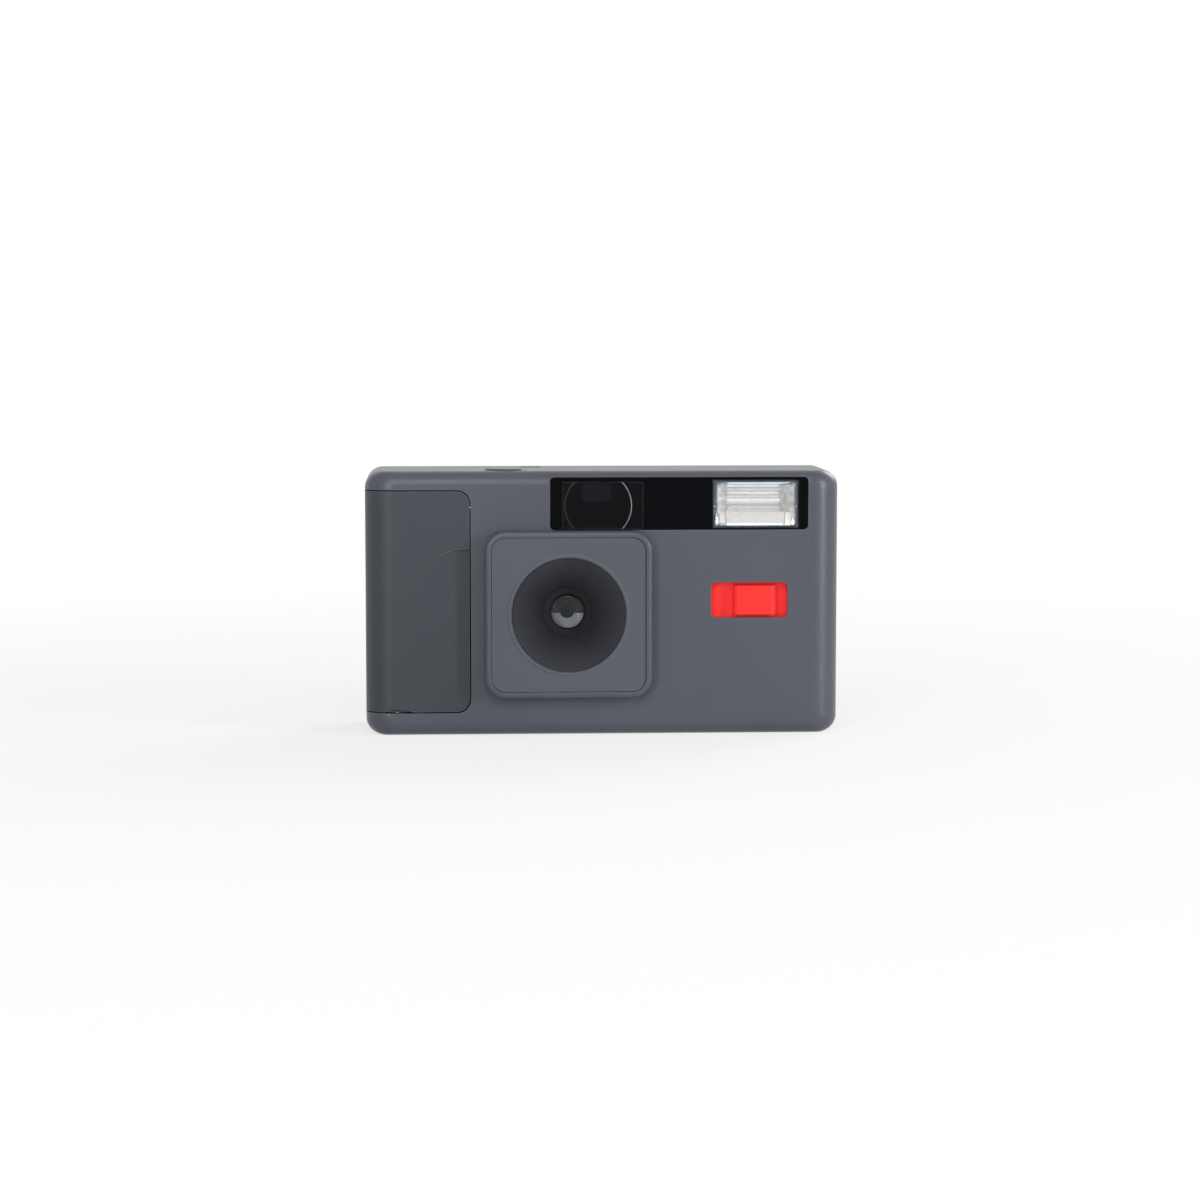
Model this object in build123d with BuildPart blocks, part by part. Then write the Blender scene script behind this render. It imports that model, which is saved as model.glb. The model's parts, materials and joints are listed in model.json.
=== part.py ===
from build123d import *
from math import cos, radians, sin, sqrt
import os

os.makedirs("parts", exist_ok=True)

# A compact camera for 135 film, in millimetres. X runs to the right of someone who looks
# at the lens, the front faces -Y, Z is up, and the origin is under the middle of the body.

# Body
body_width = 114.0
body_height = 63.5
body_depth = 31.5
housing_rise = 4.0
rear_shell_depth = 5.15
corner_radius = 4.0
side_edge_radius = 7.0
top_edge_radius = 3.5
rear_edge_radius = 3.0
wall = 1.8

# Clearances
joint_gap = 0.3
slip = 0.1
running = 0.06

# Film, cassette and battery, which are standard
film_width = 35.0
gate_width = 36.0
gate_height = 24.0
cassette_diameter = 25.2
cassette_height = 44.0
cassette_clearance = 0.4
cell_diameter = 10.5
cell_length = 44.5

# Battery door, which is the grip
grip_width = 25.0
grip_low_z = 5.8
grip_top_margin = 4.7
grip_corner = 3.0
grip_wrap = 7.75
grip_to_housing = 3.6

# Lens
lens_z = 29.4
housing_size = 40.0
housing_corner = 4.8
rim_width = 1.5
plate_thickness = 1.3
plate_sink = 0.35
cone_mouth_radius = 13.65
cone_well_radius = 5.85
cone_depth = 8.0
cone_steps = 11
glass_radius = 4.6

# Window strip, finder and flash on the front
strip_top_margin = 1.5
strip_side_margin = 7.855
strip_from_lens = 4.305
strip_thickness = 1.15
strip_corner = 1.0
finder_share = 0.312
finder_end_margin = 2.955
finder_margin = 1.2
finder_drop = 0.45
flash_share = 0.3347
flash_end_margin = 2.195
flash_margin = 1.0
flash_drop = 0.15

# Flash switch
switch_opening_width = 18.5
switch_opening_height = 8.6
switch_opening_corner = 1.3
switch_from_side = 21.85
switch_z = 32.5
switch_travel = 4.2
knob_width = 10.1
knob_height = 7.0
knob_offset = 1.2
knob_rise = 0.75

# Back door
door_post_width = 5.8
hinge_barrel_radius = 1.6
hinge_pin_radius = 0.7
hinge_lug_height = 4.5

# Winding
spool_from_side = 19.2
spool_from_rear = 11.85
spool_core_radius = 4.3
film_roll_radius = 9.6
wheel_radius = 11.6
sprocket_teeth = 8
perforation_pitch = 4.75
sprocket_from_lens = 13.6

# Buttons and crank
button_from_spool = 14.5
button_from_front = 8.25
button_radius = 5.0
crank_radius = 8.5
release_button_radius = 1.8
latch_travel = 3.0

# Chassis
chassis_gap = 0.3
chamber_wall = 0.8
plate_y_thickness = 1.4
rail_rise = 0.25
film_back_room = 2.75
latch_room = 1.6
floor_thickness = 1.0

# Places worked out from the sizes above
front_y = -(body_depth + housing_rise) / 2 + housing_rise
rear_y = front_y + body_depth
housing_front_y = front_y - housing_rise
joint_y = rear_y - rear_shell_depth
inner_front_y = front_y + wall
inner_rear_y = rear_y - wall
side = body_width / 2
inner_side = side - wall
inner_top = body_height - wall
film_y = inner_rear_y - film_back_room
rail_y = film_y + rail_rise
gate_front_y = film_y - plate_y_thickness
chassis_side = inner_side - chassis_gap

grip_edge_x = -side + grip_width
grip_high_z = body_height - grip_top_margin
lens_x = grip_edge_x + grip_to_housing + housing_size / 2

strip_low_z = lens_z + housing_size / 2 + slip
strip_height = body_height - strip_top_margin - strip_low_z
strip_z = strip_low_z + strip_height / 2
strip_left_x = lens_x - strip_from_lens
strip_right_x = side - strip_side_margin
strip_width = strip_right_x - strip_left_x
strip_x = (strip_left_x + strip_right_x) / 2
finder_width = finder_share * strip_width
finder_height = strip_height - finder_margin
finder_x = strip_left_x + finder_end_margin + finder_width / 2
finder_z = strip_z - finder_drop
flash_width = flash_share * strip_width
flash_height = strip_height - flash_margin
flash_x = strip_right_x - flash_end_margin - flash_width / 2
flash_z = strip_z - flash_drop
switch_x = side - switch_from_side

chamber_radius = cassette_diameter / 2 + cassette_clearance
cassette_x = chassis_side - latch_room - chamber_wall - chamber_radius
cassette_y = inner_rear_y - joint_gap - cassette_diameter / 2
chamber_low_z = lens_z - cassette_height / 2 - cassette_clearance
chamber_high_z = lens_z + cassette_height / 2 + cassette_clearance
ceiling_z = chamber_high_z + chamber_wall

spool_x = -side + spool_from_side
spool_y = rear_y - spool_from_rear
sprocket_x = lens_x - sprocket_from_lens
button_x = spool_x + button_from_spool
button_y = front_y + button_from_front

plate_back_y = housing_front_y + plate_sink + plate_thickness
strip_front_y = front_y + slip / 2
pocket_y = strip_front_y + strip_thickness

door_top_z = ceiling_z + joint_gap + slip
door_edge_x = -side + door_post_width
hinge_x = door_edge_x + hinge_barrel_radius
hinge_y = rear_y - hinge_barrel_radius

# The deck is the room between the film chambers and the top wall
deck_room = inner_top - ceiling_z
wheel_base_z = ceiling_z + 0.2 * deck_room
wheel_thickness = 0.66 * deck_room


def deck(share):
    """Height in the deck, as a share of its room."""
    return ceiling_z + share * deck_room


def front(y):
    """Plane at depth y that looks to the front: its x is X and its y is Z."""
    return Plane.XZ.offset(-y)


def level(z):
    """Level plane at height z."""
    return Plane.XY.offset(z)


def block(x_span, y_span, z_span, mode=Mode.ADD):
    """Box between two places on each axis, in the part that is being built."""
    middle = [(span[0] + span[1]) / 2 for span in (x_span, y_span, z_span)]
    sizes = [span[1] - span[0] for span in (x_span, y_span, z_span)]
    with Locations(tuple(middle)):
        return Box(*sizes, mode=mode)


def column(x, y, radius, z_low, z_high, mode=Mode.ADD):
    """Upright round bar or hole."""
    with Locations((x, y, (z_low + z_high) / 2)):
        return Cylinder(radius, z_high - z_low, mode=mode)


def bar(x, z, radius, y_low, y_high, mode=Mode.ADD):
    """Round bar or hole that runs from front to back."""
    with Locations(Location((x, (y_low + y_high) / 2, z), (90, 0, 0))):
        return Cylinder(radius, y_high - y_low, mode=mode)


def cross_bar(y, z, radius, x_low, x_high, mode=Mode.ADD):
    """Round bar or hole that runs from left to right."""
    with Locations(Location(((x_low + x_high) / 2, y, z), (0, 90, 0))):
        return Cylinder(radius, x_high - x_low, mode=mode)


# Front shell and battery door: one moulded form, parted along the grip's outline


edge_steps = 6
corner_taper = 0.8


def body_solid(inset):
    """Whole body as a solid, shrunk by inset, with its front edge rounder at the sides than at the top."""
    side_round = side_edge_radius - inset
    top_round = top_edge_radius - inset
    with BuildPart() as form:
        for step in range(edge_steps + 1):
            angle = radians(90 * step / edge_steps)
            depth = side_round * (1 - cos(angle))
            side_drop = side_round * (1 - sin(angle))
            top_drop = top_round - sqrt(top_round ** 2 - max(0, top_round - depth) ** 2)
            with BuildSketch(front(front_y + inset + depth)):
                with Locations((0, body_height / 2)):
                    RectangleRounded(
                        body_width - 2 * (inset + side_drop),
                        body_height - 2 * (inset + top_drop),
                        corner_radius - inset - corner_taper * top_drop,
                    )
        loft()
        with BuildSketch(front(rear_y)):
            with Locations((0, body_height / 2)):
                RectangleRounded(body_width - 2 * inset, body_height - 2 * inset, corner_radius - inset)
        extrude(amount=body_depth - inset - side_round)
    return form.part


def front_form():
    """Hollow front half of the body before any opening is cut."""
    with BuildPart() as form:
        add(body_solid(0))
        add(body_solid(wall), mode=Mode.SUBTRACT)
        block((-side, side), (joint_y, rear_y), (0, body_height), mode=Mode.SUBTRACT)
    return form.part


def inner_space(gap):
    """Room inside the body, shrunk by gap."""
    return body_solid(wall + gap)


def grip_region(gap):
    """Space of the battery door, grown by gap: its front outline crossed with its side outline."""
    reach = 5.0
    width = side + reach + grip_edge_x + gap
    height = grip_high_z - grip_low_z + 2 * gap
    depth = reach + grip_wrap + gap
    middle_z = (grip_high_z + grip_low_z) / 2
    with BuildPart() as region:
        with BuildSketch(front(front_y - reach)):
            with Locations((grip_edge_x + gap - width / 2, middle_z)):
                RectangleRounded(width, height, grip_corner + gap)
        extrude(amount=-2 * depth)
        with BuildSketch(Plane.YZ.offset(-side - reach)):
            with Locations((front_y + grip_wrap + gap - depth / 2, middle_z)):
                RectangleRounded(depth, height, grip_corner + gap)
        extrude(amount=width, mode=Mode.INTERSECT)
    return region.part


sprocket_pitch_radius = sprocket_teeth * perforation_pitch / (2 * 3.14159265)
sprocket_y = rail_y - sprocket_pitch_radius
board_front_y = front_y + 4.75
board_left_x = lens_x + 19.9
board_right_x = cassette_x - chamber_radius - chamber_wall - joint_gap - 2 * slip
board_low_z = 6.2
board_high_z = ceiling_z - 4.6
board_width = board_right_x - board_left_x
board_post_x = board_left_x + 0.4 * board_width
board_post_places = [(board_post_x, board_low_z + 3.8), (board_post_x, board_high_z - 4.0)]
board_post_radius = 1.5
screw_low_z = wall + 1.9
screw_high_z = body_height - 6.5
screw_places = [
    (lens_x - 21.6, screw_low_z),
    (lens_x + 31.4, screw_low_z),
    (flash_x - 14.6, screw_high_z),
    (side - 5.6, screw_high_z),
]
screw_post_radius = 2.0
screw_radius = 0.8
screw_head_radius = 1.5
screw_head_height = 0.6
screw_length = 9.0
lens_opening_radius = 13.6
window_lip = 0.4
latch_slot_y = rear_y - 11.25
latch_slot_width = 4.0
latch_slot_z = 31.0
latch_slot_height = 8.6
counter_x = sprocket_x + 5.2
counter_y = rear_y - 12.75
counter_window_y = counter_y + 4.4
counter_window_width = 5.0
counter_window_length = 3.4
crank_room = 0.3
ledge_thickness = 1.0
latch_ledge_z = 9.5

with BuildPart() as front_cover:
    add(front_form())
    add(grip_region(joint_gap), mode=Mode.SUBTRACT)
    for x, z in screw_places:
        bar(x, z, screw_post_radius, inner_front_y - slip, gate_front_y)
        bar(x, z, screw_radius, gate_front_y - screw_length, gate_front_y, mode=Mode.SUBTRACT)
    # Pocket of the window strip, with an opening behind each of its two windows
    with BuildSketch(front(front_y)):
        with Locations((strip_x, strip_z)):
            RectangleRounded(strip_width + 2 * slip, strip_height + 2 * slip, strip_corner + slip)
    extrude(amount=front_y - pocket_y, mode=Mode.SUBTRACT)
    for x, z, width, height in [
        (finder_x, finder_z, finder_width, finder_height),
        (flash_x, flash_z, flash_width, flash_height),
    ]:
        block(
            (x - width / 2 + window_lip, x + width / 2 - window_lip),
            (front_y, inner_front_y + top_edge_radius - wall),
            (z - height / 2 + window_lip, z + height / 2 - window_lip),
            mode=Mode.SUBTRACT,
        )
    for x, z in board_post_places:
        bar(x, z, board_post_radius, inner_front_y - slip, board_front_y)
    bar(lens_x, lens_z, lens_opening_radius, front_y - 1, inner_front_y + 1, mode=Mode.SUBTRACT)
    # Flash switch opening with rounded corners
    with BuildSketch(front(inner_front_y + slip)):
        with Locations((switch_x, switch_z)):
            RectangleRounded(switch_opening_width, switch_opening_height, switch_opening_corner)
    extrude(amount=wall + 1, mode=Mode.SUBTRACT)
    # Top: shutter button and frame counter
    column(button_x, button_y, button_radius + 0.15, inner_top - 1, body_height + 1, mode=Mode.SUBTRACT)
    block(
        (counter_x - counter_window_width / 2 - slip / 2, counter_x + counter_window_width / 2 + slip / 2),
        (
            counter_window_y - counter_window_length / 2 - slip / 2,
            counter_window_y + counter_window_length / 2 + slip / 2,
        ),
        (inner_top - 1, body_height + 1),
        mode=Mode.SUBTRACT,
    )
    # Underside: rewind crank and rewind release
    column(cassette_x, cassette_y, crank_radius + crank_room, -1, wall + 0.5, mode=Mode.SUBTRACT)
    column(sprocket_x, sprocket_y, release_button_radius + running, -1, wall + 0.5, mode=Mode.SUBTRACT)
    # Side: slot of the latch, and the ledge that its spring stands on
    block(
        (inner_side - 0.5, side + 1),
        (latch_slot_y - latch_slot_width / 2, latch_slot_y + latch_slot_width / 2),
        (latch_slot_z - latch_slot_height / 2, latch_slot_z + latch_slot_height / 2),
        mode=Mode.SUBTRACT,
    )
    block(
        (inner_side - latch_room, inner_side + slip),
        (latch_slot_y - 2, latch_slot_y + 2),
        (latch_ledge_z - ledge_thickness, latch_ledge_z),
    )
front_cover.part.label = "front_cover"
export_step(front_cover.part, "parts/front_cover.step")

# Battery door: the grip, hinged near its top edge on two ears of the battery tray

scoop_left_x = grip_edge_x - 12.6
scoop_depth = 0.8
scoop_high_z = grip_high_z - 13.8
scoop_corner = 11.7
notch_x = grip_edge_x - 17.0
notch_half_width = 3.4
notch_height = 0.8
notch_depth = 0.9
grip_hinge_radius = 1.3
grip_pin_radius = 0.45
grip_hinge_y = front_y + grip_hinge_radius
grip_hinge_z = grip_high_z - grip_corner - grip_hinge_radius
grip_hinge_span = (grip_edge_x - 20.6, grip_edge_x - 3.6)
ear_places = [grip_edge_x - 17.0, grip_edge_x - 7.0]
ear_width = 1.8
ear_radius = 0.85
ear_neck = 0.8


def scoop_cutter():
    """Wedge whose floor sinks from nothing at the crease to its depth at the door's edge."""
    reach = 20.0
    with BuildPart() as cutter:
        with BuildSketch(level(0)):
            with BuildLine():
                Polyline(
                    (scoop_left_x, front_y),
                    (scoop_left_x + reach, front_y - reach),
                    (scoop_left_x + reach, front_y + scoop_depth * reach / (grip_edge_x - scoop_left_x)),
                    (scoop_left_x, front_y),
                )
            make_face()
        extrude(amount=body_height)
        with BuildSketch(front(front_y - 2 * reach)):
            with Locations((scoop_left_x + reach, scoop_high_z - reach - scoop_corner)):
                RectangleRounded(2 * reach, 2 * (reach + scoop_corner), scoop_corner)
        extrude(amount=-4 * reach, mode=Mode.INTERSECT)
    return cutter.part


with BuildPart() as battery_door:
    add(front_form())
    add(grip_region(0), mode=Mode.INTERSECT)
    add(scoop_cutter(), mode=Mode.SUBTRACT)
    cross_bar(grip_hinge_y, grip_hinge_z, grip_hinge_radius, *grip_hinge_span)
    add(body_solid(0), mode=Mode.INTERSECT)
    for x in ear_places:
        pocket = (x - ear_width / 2 - joint_gap, x + ear_width / 2 + joint_gap)
        cross_bar(grip_hinge_y, grip_hinge_z, ear_radius + slip, *pocket, mode=Mode.SUBTRACT)
        block(
            pocket,
            (grip_hinge_y - ear_neck / 2 - slip, inner_front_y + grip_hinge_radius),
            (grip_hinge_z - ear_radius - slip, grip_high_z + 1),
            mode=Mode.SUBTRACT,
        )
        cross_bar(grip_hinge_y, grip_hinge_z, grip_pin_radius, pocket[0] - slip, pocket[1] + slip)
    # Nail notch in the bottom edge
    notch_radius = (notch_half_width ** 2 + notch_height ** 2) / (2 * notch_height)
    bar(notch_x, grip_low_z + notch_height - notch_radius, notch_radius, front_y - 1,
        front_y + notch_depth, mode=Mode.SUBTRACT)
battery_door.part.label = "battery_door"
export_step(battery_door.part, "parts/battery_door.step")

# Battery tray: a pan behind the grip door with a round trough for one upright cell

cell_x = -side + 8.2
cell_room = 0.15
trough_radius = cell_diameter / 2 + cell_room
cell_y = inner_front_y + trough_radius
trough_wall = 0.7
trough_low_z = 4.2
trough_end_room = 2.7
trough_high_z = trough_low_z + cell_length + trough_end_room
trough_cap = 1.2
pan_y = front_y + 2 * grip_hinge_radius + 0.2
pan_thickness = 1.0
pan_high_z = grip_hinge_z - 1.5
relief_x = -inner_side + 2.1
relief_low_z = trough_high_z - 0.9
contact_thickness = 0.4
contact_width = 6.0
contact_nub_radius = 1.5
spring_height = 2.2
cell_spring_radius = 3.6
cell_spring_width = 1.0

with BuildPart() as battery_tray:
    with BuildSketch(level(trough_low_z - trough_cap)):
        with Locations((cell_x, cell_y)):
            Circle(trough_radius + trough_wall)
        with Locations((cell_x, (cell_y + pan_y) / 2)):
            Rectangle(2 * (trough_radius + trough_wall), cell_y - pan_y)
    extrude(amount=trough_high_z - trough_low_z + 2 * trough_cap)
    block((-side, 0), (front_y - 1, pan_y), (0, body_height), mode=Mode.SUBTRACT)
    block(
        (-inner_side + 2.5 * joint_gap, grip_edge_x - slip),
        (pan_y, pan_y + pan_thickness),
        (grip_low_z, pan_high_z),
    )
    with BuildSketch(level(trough_low_z)):
        with Locations((cell_x, cell_y)):
            Circle(trough_radius)
        with Locations((cell_x, (cell_y + pan_y - 1) / 2)):
            Rectangle(2 * trough_radius, cell_y - pan_y + 1)
    extrude(amount=trough_high_z - trough_low_z, mode=Mode.SUBTRACT)
    add(inner_space(joint_gap), mode=Mode.INTERSECT)
    # Room for the top corner of the door, which dips inward as the door swings open
    block((-side, relief_x), (front_y, cell_y), (relief_low_z, body_height), mode=Mode.SUBTRACT)
    for x in ear_places:
        ear = (x - ear_width / 2, x + ear_width / 2)
        neck_z = (grip_hinge_z - ear_neck / 2, grip_hinge_z + ear_neck / 2)
        block(ear, (grip_hinge_y, pan_y + pan_thickness), neck_z)
        block(ear, (pan_y, pan_y + pan_thickness), (pan_high_z - slip, neck_z[1]))
        cross_bar(grip_hinge_y, grip_hinge_z, ear_radius, *ear)
        cross_bar(grip_hinge_y, grip_hinge_z, grip_pin_radius + running, *ear, mode=Mode.SUBTRACT)
battery_tray.part.label = "battery_tray"
export_step(battery_tray.part, "parts/battery_tray.step")

with BuildPart() as battery_contact:
    block(
        (cell_x - contact_width / 2, cell_x + contact_width / 2),
        (cell_y - contact_width / 2, cell_y + contact_width / 2),
        (trough_high_z - contact_thickness, trough_high_z),
    )
    column(cell_x, cell_y, contact_nub_radius, trough_high_z - 2 * contact_thickness, trough_high_z)
battery_contact.part.label = "battery_contact"
export_step(battery_contact.part, "parts/battery_contact.step")

with BuildPart() as battery_spring:
    with BuildSketch(level(trough_low_z)):
        with Locations((cell_x, cell_y)):
            Circle(cell_spring_radius)
            Circle(cell_spring_radius - cell_spring_width, mode=Mode.SUBTRACT)
    extrude(amount=spring_height, taper=12)
battery_spring.part.label = "battery_spring"
export_step(battery_spring.part, "parts/battery_spring.step")

# Film chassis: gate plate, film chambers and the dark tunnel from lens to film in one moulding

chassis_low_z = wall + joint_gap
tunnel_front_y = housing_front_y + 15.55
tunnel_plate = 1.0
tunnel_wall = 1.2
tunnel_mouth_width = 18.0
tunnel_mouth_height = 14.0
tunnel_hole_radius = 5.0
shutter_plate_width = 34.0
shutter_plate_height = 30.0
spool_journal_radius = 2.5
spool_foot_radius = 2.0
fork_radius = 2.0
sprocket_z = lens_z + film_width / 2 - 3.4
sprocket_thickness = 1.6
sprocket_tooth_height = 0.9
sprocket_shaft_radius = 1.5
shelf_low_z = ceiling_z - floor_thickness
lower_shelf_z = sprocket_z + 2.7
bearing_half_width = 3.2
dial_stud_radius = 1.0
stud_top_z = deck(0.7)
pawl_x = spool_x + 9.0
pawl_y = spool_y - 12.5
stem_radius = 2.2
ear_top_z = inner_top - 2.1
ear_half_width = 3.0
lever_pivot_x = button_x + 7.3
lever_pivot_z = ceiling_z - 5.0
lever_y = button_y
lever_pin_radius = 0.8
lever_thickness = 2.0
bracket_half_width = 1.6
bracket_thickness = 1.2
shelf_span = (pawl_x - 1.2, lever_pivot_x + 4.4)
shelf_front_y = button_y - 3.5
guide_shelf_z = 9.6
foot_places = [lens_x - 11.6, lens_x + 22.4]
foot_half_width = 2.0
rail_width = 1.0
hook_high_z = door_top_z - 7.0
hook_low_z = hook_high_z - 5.0
cup_radius = 10.2
cup_floor_z = 2.6
cup_high_z = cup_floor_z + 0.8
guide_stem_radius = 1.2


def chamber_outline(x, y, radius):
    """Plan of a film chamber: round in front and open to the back."""
    with BuildSketch() as outline:
        with Locations((x, y)):
            Circle(radius)
        with Locations((x, (y + film_y) / 2)):
            Rectangle(2 * radius, film_y - y)
    return outline.sketch


def tunnel(width_add, front_depth, rear_depth):
    """Tapered form from the shutter to the film gate."""
    with BuildPart() as form:
        with BuildSketch(front(front_depth)):
            with Locations((lens_x, lens_z)):
                Rectangle(tunnel_mouth_width + width_add, tunnel_mouth_height + width_add)
        with BuildSketch(front(rear_depth)):
            with Locations((lens_x, lens_z)):
                Rectangle(gate_width + width_add, gate_height + width_add)
        loft(ruled=True)
    return form.part


with BuildPart() as film_chassis:
    with BuildSketch(front(film_y)):
        with Locations((0, body_height / 2)):
            RectangleRounded(2 * chassis_side, body_height - 2 * chassis_low_z, corner_radius - wall)
    extrude(amount=plate_y_thickness)
    # Above the chambers only the ears of the upper screws stay
    ear_edges = [-chassis_side]
    for x, z in screw_places[2:]:
        ear_edges += [x - ear_half_width, x + ear_half_width]
    for left, right in zip(ear_edges[::2], ear_edges[1::2]):
        block((left - slip, right), (gate_front_y, film_y), (ceiling_z, body_height), mode=Mode.SUBTRACT)
    block((-side, side), (gate_front_y, film_y), (ear_top_z, body_height), mode=Mode.SUBTRACT)
    with BuildSketch(level(chamber_low_z - floor_thickness)):
        add(chamber_outline(cassette_x, cassette_y, chamber_radius + chamber_wall))
        add(chamber_outline(spool_x, spool_y, film_roll_radius + chamber_wall))
    extrude(amount=ceiling_z - chamber_low_z + floor_thickness)
    # Feet on the floor of the shell, and ears for the upper screws
    for x in foot_places:
        block(
            (x - foot_half_width, x + foot_half_width),
            (gate_front_y, joint_y - joint_gap),
            (wall, chassis_low_z + slip),
        )
    add(tunnel(2 * tunnel_wall, tunnel_front_y + tunnel_plate, gate_front_y + slip))
    block(
        (lens_x - shutter_plate_width / 2, lens_x + shutter_plate_width / 2),
        (tunnel_front_y, tunnel_front_y + tunnel_plate),
        (lens_z - shutter_plate_height / 2, lens_z + shutter_plate_height / 2),
    )
    # Shelves that carry the sprocket, the counter, the lever and the two buttons
    block(shelf_span, (shelf_front_y, gate_front_y + slip), (shelf_low_z, ceiling_z))
    for z in (lower_shelf_z, guide_shelf_z):
        block(
            (sprocket_x - bearing_half_width, sprocket_x + bearing_half_width),
            (sprocket_y - bearing_half_width, gate_front_y + slip),
            (z, z + floor_thickness),
        )
    bracket_y = lever_y + lever_thickness / 2 + joint_gap + slip
    block(
        (lever_pivot_x - bracket_half_width, lever_pivot_x + bracket_half_width),
        (bracket_y, bracket_y + bracket_thickness),
        (lever_pivot_z - bracket_half_width, shelf_low_z + slip),
    )
    bar(lever_pivot_x, lever_pivot_z, lever_pin_radius, lever_y - lever_thickness / 2 - 2 * slip,
        bracket_y + slip)
    for x, y in [(counter_x, counter_y), (pawl_x, pawl_y)]:
        column(x, y, dial_stud_radius, ceiling_z - slip, stud_top_z)
    block((-side, side), (film_y, rear_y), (0, body_height), mode=Mode.SUBTRACT)
    # Film rails beside the gate
    for offset_z in (gate_height / 2 + 0.4, film_width / 2 + 0.2):
        for sign in (1, -1):
            z = lens_z + sign * offset_z
            block(
                (lens_x - gate_width / 2, lens_x + gate_width / 2),
                (film_y - slip, rail_y),
                sorted((z, z + sign * rail_width)),
            )
    # Hollows: both chambers, the tunnel and the gate
    with BuildSketch(level(chamber_low_z)):
        add(chamber_outline(cassette_x, cassette_y, chamber_radius))
        add(chamber_outline(spool_x, spool_y, film_roll_radius))
    extrude(amount=chamber_high_z - chamber_low_z, mode=Mode.SUBTRACT)
    add(tunnel(0, tunnel_front_y + tunnel_plate, film_y), mode=Mode.SUBTRACT)
    bar(lens_x, lens_z, tunnel_hole_radius, tunnel_front_y - 1, tunnel_front_y + 2 * tunnel_plate,
        mode=Mode.SUBTRACT)
    # Bores and slots for what turns or slides
    column(spool_x, spool_y, spool_journal_radius + running, chamber_high_z - 1, ceiling_z + 1,
           mode=Mode.SUBTRACT)
    column(spool_x, spool_y, spool_foot_radius + running, chamber_low_z - 2, chamber_low_z + 1,
           mode=Mode.SUBTRACT)
    column(cassette_x, cassette_y, fork_radius + running, chamber_low_z - 2, chamber_low_z + 1,
           mode=Mode.SUBTRACT)
    column(sprocket_x, sprocket_y, sprocket_shaft_radius + running, lower_shelf_z - 1, ceiling_z + 1,
           mode=Mode.SUBTRACT)
    block(
        (sprocket_x - sprocket_pitch_radius - 1.4, sprocket_x + sprocket_pitch_radius + 1.4),
        (sprocket_y - sprocket_pitch_radius - 1.4, film_y + 1),
        (sprocket_z - sprocket_thickness / 2 - joint_gap, sprocket_z + sprocket_thickness / 2 + joint_gap),
        mode=Mode.SUBTRACT,
    )
    column(sprocket_x, sprocket_y, guide_stem_radius + running, guide_shelf_z - 1,
           guide_shelf_z + floor_thickness + 1, mode=Mode.SUBTRACT)
    column(button_x, button_y, stem_radius + joint_gap, shelf_low_z - 1, ceiling_z + 1, mode=Mode.SUBTRACT)
    for x, z in screw_places:
        bar(x, z, screw_radius + slip, gate_front_y - 1, film_y + 1, mode=Mode.SUBTRACT)
        bar(x, z, screw_head_radius + slip, film_y - screw_head_height, film_y + 1, mode=Mode.SUBTRACT)
    # Window that the door's hook passes through, and room for the cup of the rewind crank
    block(
        (inner_side - latch_room - 0.4, chassis_side + 1),
        (gate_front_y - 1, film_y + 1),
        (hook_low_z - 2 * joint_gap, hook_high_z + 3 * joint_gap),
        mode=Mode.SUBTRACT,
    )
    column(cassette_x, cassette_y, cup_radius + joint_gap, 0, cup_high_z + joint_gap, mode=Mode.SUBTRACT)
film_chassis.part.label = "film_chassis"
export_step(film_chassis.part, "parts/film_chassis.step")

with BuildPart() as case_screws:
    for x, z in screw_places:
        bar(x, z, screw_head_radius, film_y - screw_head_height, film_y)
        bar(x, z, screw_radius - running, gate_front_y - screw_length + 1, film_y - screw_head_height)
case_screws.part.label = "case_screws"
export_step(case_screws.part, "parts/case_screws.step")

# Lens housing: a square rim on the front face, with a ledge that carries the lens plate

with BuildPart() as lens_housing:
    with BuildSketch(front(front_y)):
        with Locations((lens_x, lens_z)):
            RectangleRounded(housing_size, housing_size, housing_corner)
    extrude(amount=housing_rise)
    fillet(lens_housing.edges().group_by(Axis.Y)[0], rim_width * 0.7)
    inner_size = housing_size - 2 * rim_width
    with BuildSketch(front(plate_back_y)):
        with Locations((lens_x, lens_z)):
            RectangleRounded(inner_size, inner_size, housing_corner - rim_width)
    extrude(amount=housing_rise, mode=Mode.SUBTRACT)
    bar(lens_x, lens_z, cone_mouth_radius + 1.9, front_y - housing_rise, front_y + 1, mode=Mode.SUBTRACT)
lens_housing.part.label = "lens_housing"
export_step(lens_housing.part, "parts/lens_housing.step")

# Lens plate: a square plate that falls in even steps to the well of the lens

plate_y = housing_front_y + plate_sink
ring_width = 0.8
ring_rise = 0.25
cone_wall = 1.0
step_radius = (cone_mouth_radius - cone_well_radius) / cone_steps
step_depth = cone_depth / cone_steps
well_depth = 1.2
cone_back_y = plate_y + cone_depth + well_depth


def cone_outline():
    """Half section of the stepped cone's hollow, as radius and depth, from its mouth to the well."""
    points = [(0, plate_y - 1), (cone_mouth_radius, plate_y - 1)]
    for step in range(cone_steps):
        radius = cone_mouth_radius - step * step_radius
        depth = plate_y + (step + 1) * step_depth
        points += [(radius, depth), (radius - step_radius, depth)]
    points += [(cone_well_radius, cone_back_y + 1), (0, cone_back_y + 1)]
    return points


lens_axis = Plane(origin=(lens_x, 0, lens_z), x_dir=(1, 0, 0), z_dir=(0, 0, 1))

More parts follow.
